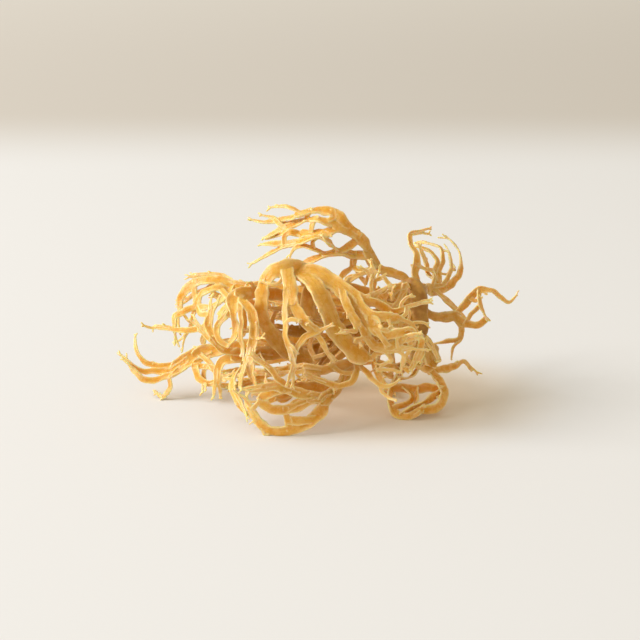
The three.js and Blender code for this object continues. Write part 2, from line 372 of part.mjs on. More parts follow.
      [1.5, 1.2, [-28, -7.8, 9.5], [-26.2, -9, 8.4], [-24, -11.6, 6]],
    ],
  },
  inner: {
    face: [0.2, 0.5, -0.8],
    blades: [
      [1.6, 4.2, [22.4, 3.2, 2.5], [18.8, 3, 1.8], [12.5, 1, -1.5], [7, 0, -3], [2.4, 0.4, -4]],
      [3.6, 2.4, [2.4, 0.4, -4], [-1.4, 2, -5.5], [-4.6, 2.6, -6.5], [-7.6, 2.2, -7]],
      [3.6, 2.4, [2.4, 0.4, -4], [-1.2, -1.6, -4.6], [-4.2, -2.6, -5.2], [-7.2, -2.4, -5.8]],
      [3.4, 2.0, [7, 0, -3], [5.4, -3.4, -4], [4.2, -5.6, -4.6], [2.6, -7.4, -5]],
    ],
  },
  back_high: {
    face: [0, 0.5, 0.9],
    forks: 3,
    blades: [
      [1.6, 2.8, [22.3, 4.6, 2.6], [20.6, 4.2, 6.6], [16, 2, 12], [10, 1.4, 17], [3, 2, 20]],
      [2.4, 1.8, [10, 1.4, 17], [7, 4.4, 20], [2, 5.4, 22], [-3, 4.6, 23]],
      [2.6, 2.0, [3, 2, 20], [-3, 1, 21], [-9, 1.4, 21], [-14, 2.8, 20]],
      [2.4, 1.8, [3, 2, 20], [0, -1.6, 22], [-5, -3.4, 23], [-10.6, -3.2, 22]],
      [2.2, 1.6, [16, 2, 12], [17, 3, 17], [14, 5, 21], [9, 6, 23]],
    ],
  },
  back_low: {
    face: [0, 0.4, 0.9],
    forks: 3,
    blades: [
      [1.6, 2.8, [22.5, 1.2, 2], [20.4, 0.6, 6], [14, -2, 11], [8, -5.6, 14.5], [2, -8, 17]],
      [2.4, 1.8, [8, -5.6, 14.5], [7.4, -9, 18], [6, -12, 20], [4.6, -14.6, 19.6]],
      [2.6, 2.0, [2, -8, 17], [-3, -10, 18.5], [-7.6, -11.4, 19.5], [-12, -12, 20]],
      [2.2, 1.7, [2, -8, 17], [-1, -12, 18.4], [-4.6, -14.4, 19.4], [-8.6, -15.4, 20]],
      [2.2, 1.6, [14, -2, 11], [12.6, -4.6, 14], [12, -8, 17], [13, -11.6, 18], [14.6, -15, 17]],
    ],
  },
};

const wasm = await Module();
wasm.setup();

// A linear congruential generator, which starts again for each frond: frond n from seed
// FIRST_SEED + n * SEED_STEP. It gives the same numbers on every run.
const MULTIPLIER = 1664525;
const INCREMENT = 1013904223;
const MODULUS = 2 ** 32;
const FIRST_SEED = 7;
const SEED_STEP = 1000;
let seed = 0;
function draw([least, more]) {
  seed = (MULTIPLIER * seed + INCREMENT) % MODULUS;
  return least + (more * seed) / MODULUS;
}

// The routes' axes in the tuft's own frame.
const ACROSS = new THREE.Vector3(1, 0, 0);
const UPWARDS = new THREE.Vector3(0, Math.sin(LOOK_DOWN), Math.cos(LOOK_DOWN));
const AWAY = new THREE.Vector3(0, Math.cos(LOOK_DOWN), -Math.sin(LOOK_DOWN));

// Turns a listed place, [across, up, away], into one in the tuft's own frame.
function placed({ x, y, z }) {
  const spread = 1 + z / EYE_DISTANCE;
  return LOOKED_AT.clone()
    .addScaledVector(ACROSS, x * spread)
    .addScaledVector(UPWARDS, y * spread)
    .addScaledVector(AWAY, z);
}

// How far away a place may be before it is lower than TABLE_CLEAR over the table.
function awayLimit({ y }) {
  const height = LOOKED_AT.z - TABLE_CLEAR + UPWARDS.z * y;
  return height / (-AWAY.z - (UPWARDS.z * y) / EYE_DISTANCE);
}

// How far down in the view a place may be, at its own distance, for the same reason.
function upLimit({ z }) {
  return (TABLE_CLEAR - LOOKED_AT.z - AWAY.z * z) / (UPWARDS.z * (1 + z / EYE_DISTANCE));
}

// Places about STATION_STEP apart on the smooth line through the points.
function smoothLine(points) {
  const curve = new THREE.CatmullRomCurve3(points, false, "catmullrom");
  return curve.getSpacedPoints(Math.max(2, Math.round(curve.getLength() / STATION_STEP)));
}

// A station is a place on a blade, with its width there. It knows the one before it, its parent, and
// those after it, its children. Only a frond's first station, on the holdfast, has no parent.
function addStation(frond, at, width, parent) {
  const station = { at, width, frond, parent, children: [], links: [], shift: 0 };
  frond.stations.push(station);
  return station;
}

// Linked stations are neighbours, also where a blade meets another.
function link(a, b) {
  a.links.push(b);
  b.links.push(a);
}

// Carries a frond on from one of its stations, along a line, with a width that changes evenly, and
// gives the last new station.
function grow(frond, from, line, rootWidth, endWidth) {
  return line.slice(1).reduce((parent, at, i) => {
    const width = THREE.MathUtils.lerp(rootWidth, endWidth, (i + 1) / (line.length - 1));
    const station = addStation(frond, at, width, parent);
    link(parent, station);
    parent.children.push(station);
    return station;
  }, from);
}

function nearestStation(frond, place) {
  const distance = (station) => station.at.distanceTo(place);
  return frond.stations.reduce((best, station) => (distance(station) < distance(best) ? station : best));
}

const towards = (a, b) => b.at.clone().sub(a.at).normalize();

// The unit normal of a blade's flat side, where it passes a place along the unit vector run: the
// frond's own face and the way out from the tuft's heart, with a slow twist.
function flatSide(frond, place, run) {
  const twist = TWIST * Math.sin(TWIST_WAVE.dot(place) + frond.phase);
  const side = place.clone().sub(HEART).normalize().multiplyScalar(OUTWARDS).add(frond.face);
  side.addScaledVector(run, -side.dot(run)).normalize();
  return side.applyAxisAngle(run, twist);
}

// Places along a tine that leaves a fork by an angle, bends back in line with it, and curls.
function tine(frond, from, run, turn, length) {
  const curl = draw(TINE_CURL);
  const side = flatSide(frond, from, run);
  const heading = run.clone().applyAxisAngle(side, turn);
  const line = [from];
  for (let k = 0; k < TINE_PARTS; k++) {
    const hinge = side.clone().cross(heading).normalize();
    heading.applyAxisAngle(side, (-TINE_BENDS_BACK * turn) / TINE_PARTS).applyAxisAngle(hinge, curl);
    const next = line.at(-1).clone().addScaledVector(heading, length / TINE_PARTS);
    line.push(next.setY(Math.max(next.y, upLimit(next))));
  }
  return line;
}

// A free end forks in two, and so on to the tips.
function forkEnd(end, times) {
  if (!times || end.width < TIP_WIDTH) {
    end.width = Math.min(end.width, TIP_END);
    return;
  }
  const run = towards(end.parent, end);
  const lastWidth = times === 1 ? TIP_END : TINE_NARROWS * end.width;
  for (const hand of [-1, 1]) {
    const turn = hand * draw(TINE_TURN);
    const length = end.width * draw(TINE_LENGTH);
    const line = tine(end.frond, end.at, run, turn, length);
    forkEnd(grow(end.frond, end, line, TINE_ROOT * end.width, lastWidth), times - 1);
  }
}

// A frond from its listed blades, with forks grown on every free end.
function growFrond([name, { face, forks = 1, blades }], number) {
  seed = FIRST_SEED + number * SEED_STEP;
  const frond = { name, face: new THREE.Vector3(...face), phase: TWIST_STEP * number, stations: [] };
  const ends = blades.map(([rootWidth, endWidth, ...listed]) => {
    const points = listed.map((p) => new THREE.Vector3(...p));
    if (!frond.stations.length) addStation(frond, points[0], rootWidth);
    const from = nearestStation(frond, points[0]);
    points[0] = from.at;
    const met = nearestStation(frond, points.at(-1));
    const end = grow(frond, from, smoothLine(points), rootWidth, endWidth);
    if (met.at.distanceTo(end.at) < MEETS) {
      link(end, met);
      end.met = met;
      from.children.at(-1).closesLoop = true;
    }
    return end;
  });
  ends.filter((end) => !end.children.length && !end.met).forEach((end) => forkEnd(end, forks));
  return frond;
}

// The stations within KIN_STEPS of one, which are close to it because they grow from it.
function kinOf(station) {
  const kin = new Set([station]);
  for (let step = 0; step < KIN_STEPS; step++) {
    [...kin].forEach((s) => s.links.forEach((other) => kin.add(other)));
  }
  return kin;
}

// Stations that are too close lean apart along the line of sight. Each takes part in the moves of
// those linked to it, so that a blade bends and doesn't kink.
function leanClear(stations) {
  const girth = ({ width }) => GIRTH * width + 0.5 * THIN;
  const pairs = [];
  stations.forEach((a, i) => {
    const kin = kinOf(a);
    for (const b of stations.slice(i + 1)) {
      const reach = girth(a) + girth(b) + CLEAR_GAP;
      const aside = Math.hypot(a.at.x - b.at.x, a.at.y - b.at.y);
      if (aside >= reach || kin.has(b) || !a.parent || !b.parent) continue;
      pairs.push([a, b, Math.sqrt(reach * reach - aside * aside)]);
    }
  });
  for (let round = 0; round < CLEAR_ROUNDS; round++) {
    stations.forEach((station) => { station.push = 0; });
    for (const [a, b, need] of pairs) {
      const depth = b.at.z + b.shift - a.at.z - a.shift;
      const lack = need - Math.abs(depth);
      if (lack <= 0) continue;
      const part = (depth < 0 ? -0.5 : 0.5) * lack;
      a.push -= part;
      b.push += part;
    }
    const smoothing = SMOOTHING[Math.floor((2 * round) / CLEAR_ROUNDS)];
    for (const station of stations) {
      const mean = station.links.reduce((sum, s) => sum + s.shift, 0) / station.links.length;
      const moved = station.shift + THREE.MathUtils.clamp(station.push, -MOST_PUSH, MOST_PUSH);
      const wanted = moved + smoothing * (mean - moved);
      station.next = Math.min(wanted, awayLimit(station.at) - station.at.z);
    }
    stations.forEach((station) => { station.shift = station.parent ? station.next : 0; });
  }
  stations.forEach((station) => { station.at = station.at.clone().setZ(station.at.z + station.shift); });
  stations.filter(({ met }) => met).forEach((station) => station.at.copy(station.met.at));
}

// Whether a blade has a root of its own, sunk into the blade that it grows from.
function hasOwnRoot(station) {
  const { parent, closesLoop } = station;
  if (closesLoop) return true;
  return parent.parent && towards(parent.parent, parent).dot(towards(parent, station)) < SIDE_SHOOT;
}

// Settles how each station's section lies: the way that the frond runs there, and its flat side,
// which turns only a little from one station to the next.
function layFlat(stations) {
  for (const station of stations) {
    station.run = new THREE.Vector3();
    if (station.parent) station.run.copy(towards(station.parent, station));
    const onward = station.children.filter((child) => !hasOwnRoot(child));
    onward.forEach((child) => station.run.addScaledVector(towards(station, child), 1 / onward.length));
    station.run.normalize();
    station.side = flatSide(station.frond, station.at, station.run);
    if (!station.parent) continue;
    if (station.side.dot(station.parent.side) < 0) station.side.negate();
    station.side.add(station.parent.side);
    station.side.addScaledVector(station.run, -station.side.dot(station.run)).normalize();
  }
}

// A closed geometry as a solid that can be joined and cut.
function solidFrom(geometry) {
  geometry.deleteAttribute("normal");
  geometry.deleteAttribute("uv");
  const merged = mergeVertices(geometry, 1e-4);
  return new wasm.Manifold(new wasm.Mesh({
    numProp: 3,
    vertProperties: merged.attributes.position.array,
    triVerts: new Uint32Array(merged.index.array),
  }));
}

// The solid whose faces join numbered corners, listed in the routes' way.
function solidThrough(corners, index) {
  const places = new Float32Array(corners.flatMap((corner) => placed(corner).toArray()));
  const geometry = new THREE.BufferGeometry();
  geometry.setAttribute("position", new THREE.BufferAttribute(places, 3));
  geometry.setIndex(index);
  return solidFrom(geometry);
}

// The upper and lower corners of a station's section, at fractions of its width.
function sectionAt({ at, width, run, side }, fractions = [0, 1]) {
  const edge = run.clone().cross(side).multiplyScalar(width);
  const half = side.clone().multiplyScalar(0.5 * (THIN + THICKER * width));
  return [1, -1].map((s) => fractions.map((f) =>
    at.clone().addScaledVector(edge, f - 0.5).addScaledVector(half, s)));
}

// The solids of all that grows on from a station: one flat strip that divides at each fork, and
// then each blade that has a root of its own, with what grows on from it.
function bladeSolids(root, first) {
  const corners = [];
  const index = [];
  const ownRoots = [];
  const numbered = (section) => section.map((row) => row.map((corner) => corners.push(corner) - 1));
  const face = (...c) => {
    for (let i = 1; i + 1 < c.length; i++) index.push(c[0], c[i], c[i + 1]);
  };
  // Joins the section before a station to the station's own, then goes on to its children, which
  // share its width in the order that they lie across it.
  const carryOn = ([[a, b], [c, d]], station) => {
    const edge = station.run.clone().cross(station.side);
    const across = (child) => towards(station, child).dot(edge);
    const onward = station.children.filter((child) => !hasOwnRoot(child));
    onward.sort((m, n) => across(m) - across(n));
    ownRoots.push(...station.children.filter(hasOwnRoot));
    const whole = onward.reduce((sum, { width }) => sum + width, 0);
    const fractions = [0];
    onward.forEach(({ width }) => fractions.push(fractions.at(-1) + width / whole));
    const [upper, lower] = numbered(sectionAt(station, onward.length > 1 ? fractions : [0, 1]));
    face(a, ...upper, b);
    face(c, d, ...lower.toReversed());
    face(a, c, lower[0], upper[0]);
    face(b, upper.at(-1), lower.at(-1), d);
    onward.forEach((child, i) => carryOn([upper.slice(i, i + 2), lower.slice(i, i + 2)], child));
    if (!onward.length) face(upper[0], lower[0], lower[1], upper[1]);
  };
  const start = numbered(sectionAt(root));
  face(start[0][0], start[0][1], start[1][1], start[1][0]);
  carryOn(start, first);
  const strip = solidThrough(corners, index);
  return [strip, ...ownRoots.flatMap((station) => {
    const run = towards(station.parent, station);
    const at = station.parent.at.clone().addScaledVector(run, -SIDE_SUNK * station.parent.width);
    const side = station.side.clone().addScaledVector(run, -station.side.dot(run)).normalize();
    return bladeSolids({ at, run, side, width: SHOOT_ROOT * station.width }, station);
  })];
}

// The stipe as a round stem with rounded ends, larger all round by margin.
function stipeSolid(margin) {
  const curve = new THREE.CatmullRomCurve3(STIPE.map(([, ...place]) => new THREE.Vector3(...place)));
  const corners = [];
  for (let i = 0; i <= STIPE_PARTS; i++) {
    const t = i / STIPE_PARTS;
    const run = curve.getTangent(t);
    const edge = run.clone().cross(new THREE.Vector3(0, 0, 1)).normalize();
    const listed = t * (STIPE.length - 1);
    const before = Math.min(Math.floor(listed), STIPE.length - 2);
    const radius = THREE.MathUtils.lerp(STIPE[before][0], STIPE[before + 1][0], listed - before);
    const rounding = STIPE_ENDS[Math.min(i, STIPE_PARTS - i)] ?? 1;
    const beyond = Number(i === STIPE_PARTS) - Number(i === 0);
    for (let c = 0; c < STIPE_SIDES; c++) {
      const spoke = edge.clone().applyAxisAngle(run, (2 * Math.PI * c) / STIPE_SIDES);
      const centre = curve.getPoint(t).addScaledVector(run, beyond * margin);
      corners.push(centre.addScaledVector(spoke, radius * rounding + margin));
    }
  }
  const last = STIPE_SIDES * STIPE_PARTS;
  const index = [];
  for (let c = 1; c + 1 < STIPE_SIDES; c++) {
    index.push(0, c, c + 1, last, last + c + 1, last + c);
  }
  for (let c = 0; c < last; c++) {
    const next = (c + 1) % STIPE_SIDES ? c + 1 : c + 1 - STIPE_SIDES;
    index.push(c, c + STIPE_SIDES, next, next, c + STIPE_SIDES, next + STIPE_SIDES);
  }
  return solidThrough(corners, index);
}

// The largest body of a solid, without the tiny scraps that joins and cuts can leave.
function largestBody(solid) {
  return solid.decompose().reduce((best, body) => (body.volume() > best.volume() ? body : best));
}

// The geometry of a solid.
function geometryFrom(solid) {
  const { vertProperties, triVerts } = solid.getMesh();
  const geometry = new THREE.BufferGeometry();
  geometry.setAttribute("position", new THREE.BufferAttribute(vertProperties, 3));
  geometry.setIndex(new THREE.BufferAttribute(triVerts, 1));
  geometry.computeVertexNormals();
  return geometry;
}

const fronds = Object.entries(FRONDS).map(growFrond);
const stations = fronds.flatMap((frond) => frond.stations);
leanClear(stations);
layFlat(stations);

const tuft = new THREE.Group();
const below = solidFrom(new THREE.BoxGeometry(TABLE, TABLE, TABLE).translate(0, 0, -TABLE / 2));
const aroundStipe = stipeSolid(ROOT_GAP);
const golden = new THREE.MeshStandardMaterial({ color: 0xd9a441, roughness: 0.45 });
const brown = new THREE.MeshStandardMaterial({ color: 0x7a4a22, roughness: 0.6 });
for (const frond of fronds) {
  const [root, first] = frond.stations;
  const joined = bladeSolids(root, first).reduce((sum, solid) => sum.add(solid));
  const cut = joined.subtract(below).subtract(aroundStipe);
  const mesh = new THREE.Mesh(geometryFrom(largestBody(cut)), golden);
  mesh.name = `frond_${frond.name}`;
  tuft.add(mesh);
}
const stipe = new THREE.Mesh(geometryFrom(stipeSolid(0)), brown);
stipe.name = "stipe";
tuft.add(stipe);

export default tuft;
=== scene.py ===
"""A dried tuft of Irish moss: golden, translucent fronds that fork again and again from one dark stipe.

Each frond grows along the routes of its solid in the frame, by the same rules. It is then made anew
as flat straps with raised rims, twigs, teeth and forked tips, fused into one skin.
Routes are in millimetres, and meshes in metres.
"""
import json
import math

import bmesh
import bpy
import numpy as np
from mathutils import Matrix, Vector

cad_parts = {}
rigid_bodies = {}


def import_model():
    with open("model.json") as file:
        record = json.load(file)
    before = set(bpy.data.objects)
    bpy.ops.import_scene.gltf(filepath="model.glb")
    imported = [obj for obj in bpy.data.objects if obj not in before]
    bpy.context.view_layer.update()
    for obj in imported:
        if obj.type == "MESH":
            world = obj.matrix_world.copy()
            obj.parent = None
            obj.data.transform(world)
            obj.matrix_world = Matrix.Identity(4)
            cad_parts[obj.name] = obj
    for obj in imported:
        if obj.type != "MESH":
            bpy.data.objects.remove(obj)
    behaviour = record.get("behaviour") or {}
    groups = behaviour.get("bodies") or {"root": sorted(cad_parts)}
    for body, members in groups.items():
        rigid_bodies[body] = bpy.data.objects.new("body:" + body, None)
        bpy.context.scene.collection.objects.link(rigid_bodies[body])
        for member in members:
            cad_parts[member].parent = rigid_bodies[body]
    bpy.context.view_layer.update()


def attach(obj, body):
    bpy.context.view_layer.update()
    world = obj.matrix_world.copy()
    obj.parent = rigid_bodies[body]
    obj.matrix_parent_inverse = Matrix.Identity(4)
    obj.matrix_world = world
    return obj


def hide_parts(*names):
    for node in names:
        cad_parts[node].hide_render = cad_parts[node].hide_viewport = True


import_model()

MM = 0.001

# Routes are listed as the tuft is seen from the front, from an eye that looks down on it. A place is
# [across, up, away]: right and up in the plane through LOOKED_AT that faces the eye, then away from it.
EYE_DISTANCE = 420.0
LOOK_DOWN = math.radians(15)
LOOKED_AT = np.array([0.46, -1.37, 20.35])
ROUTE_AXES = np.array([
    [1.0, 0.0, 0.0],
    [0.0, math.sin(LOOK_DOWN), math.cos(LOOK_DOWN)],
    [0.0, math.cos(LOOK_DOWN), -math.sin(LOOK_DOWN)],
])

# The stipe, the dark stout stem that every frond branches from, as [radius, across, up, away].
STIPE = [
    [1.5, 19.6, 9.4, 3.8],
    [2.1, 21.5, 7.4, 3.2],
    [2.3, 22.3, 4.4, 2.6],
    [2.2, 22.4, 1.4, 2],
    [2.1, 22.8, -1.2, 1],
    [1.7, 23.6, -3.8, -0.8],
]

# How blades are laid out, as in the solids, in millimetres. Stations are about STATION_STEP apart, and
# keep TABLE_CLEAR over the table. A blade that ends less than MEETS from an earlier station meets it
# there. A branch that turns until the cosine is under SIDE_SHOOT has a root of its own. ARC_PARTS is how
# finely a curve is measured, and THIN the least thickness of a solid's blade.
THIN = 0.62
STATION_STEP = 3.0
LEAST_STATIONS = 2
ARC_PARTS = 200
TABLE_CLEAR = 0.4
MEETS = 1.5
SIDE_SHOOT = 0.35

# How a free end forks: see fork_end. In brackets are a draw's least value, and how much more it may be.
TIP_WIDTH = 0.8
TIP_END = 0.45
TINE_ROOT = 0.8
TINE_NARROWS = 0.75
TINE_TURN = [0.385, 0.33]
TINE_LENGTH = [1.76, 1.54]
TINE_CURL = [-0.315, 0.9]
TINE_BENDS_BACK = 0.9
TINE_PARTS = 2

# How far blades twist, and how much their flat sides look out from the tuft's heart.
TWIST = 0.55
TWIST_WAVE = np.array([0.31, 0.27, -0.23])
TWIST_STEP = 1.7
OUTWARDS = 0.7
HEART = np.array([2.0, -2.0, 0.0])

# How blades lean clear of each other: see lean_clear.
CLEAR_ROUNDS = 300
CLEAR_GAP = 0.6
MOST_PUSH = 0.5
GIRTH = 0.4
KIN_STEPS = 4
SMOOTHING = [0.4, 0.1]

# The generator that draws each frond's own numbers.
MULTIPLIER = 1664525
INCREMENT = 1013904223
MODULUS = 2 ** 32
FIRST_SEED = 7
SEED_STEP = 1000

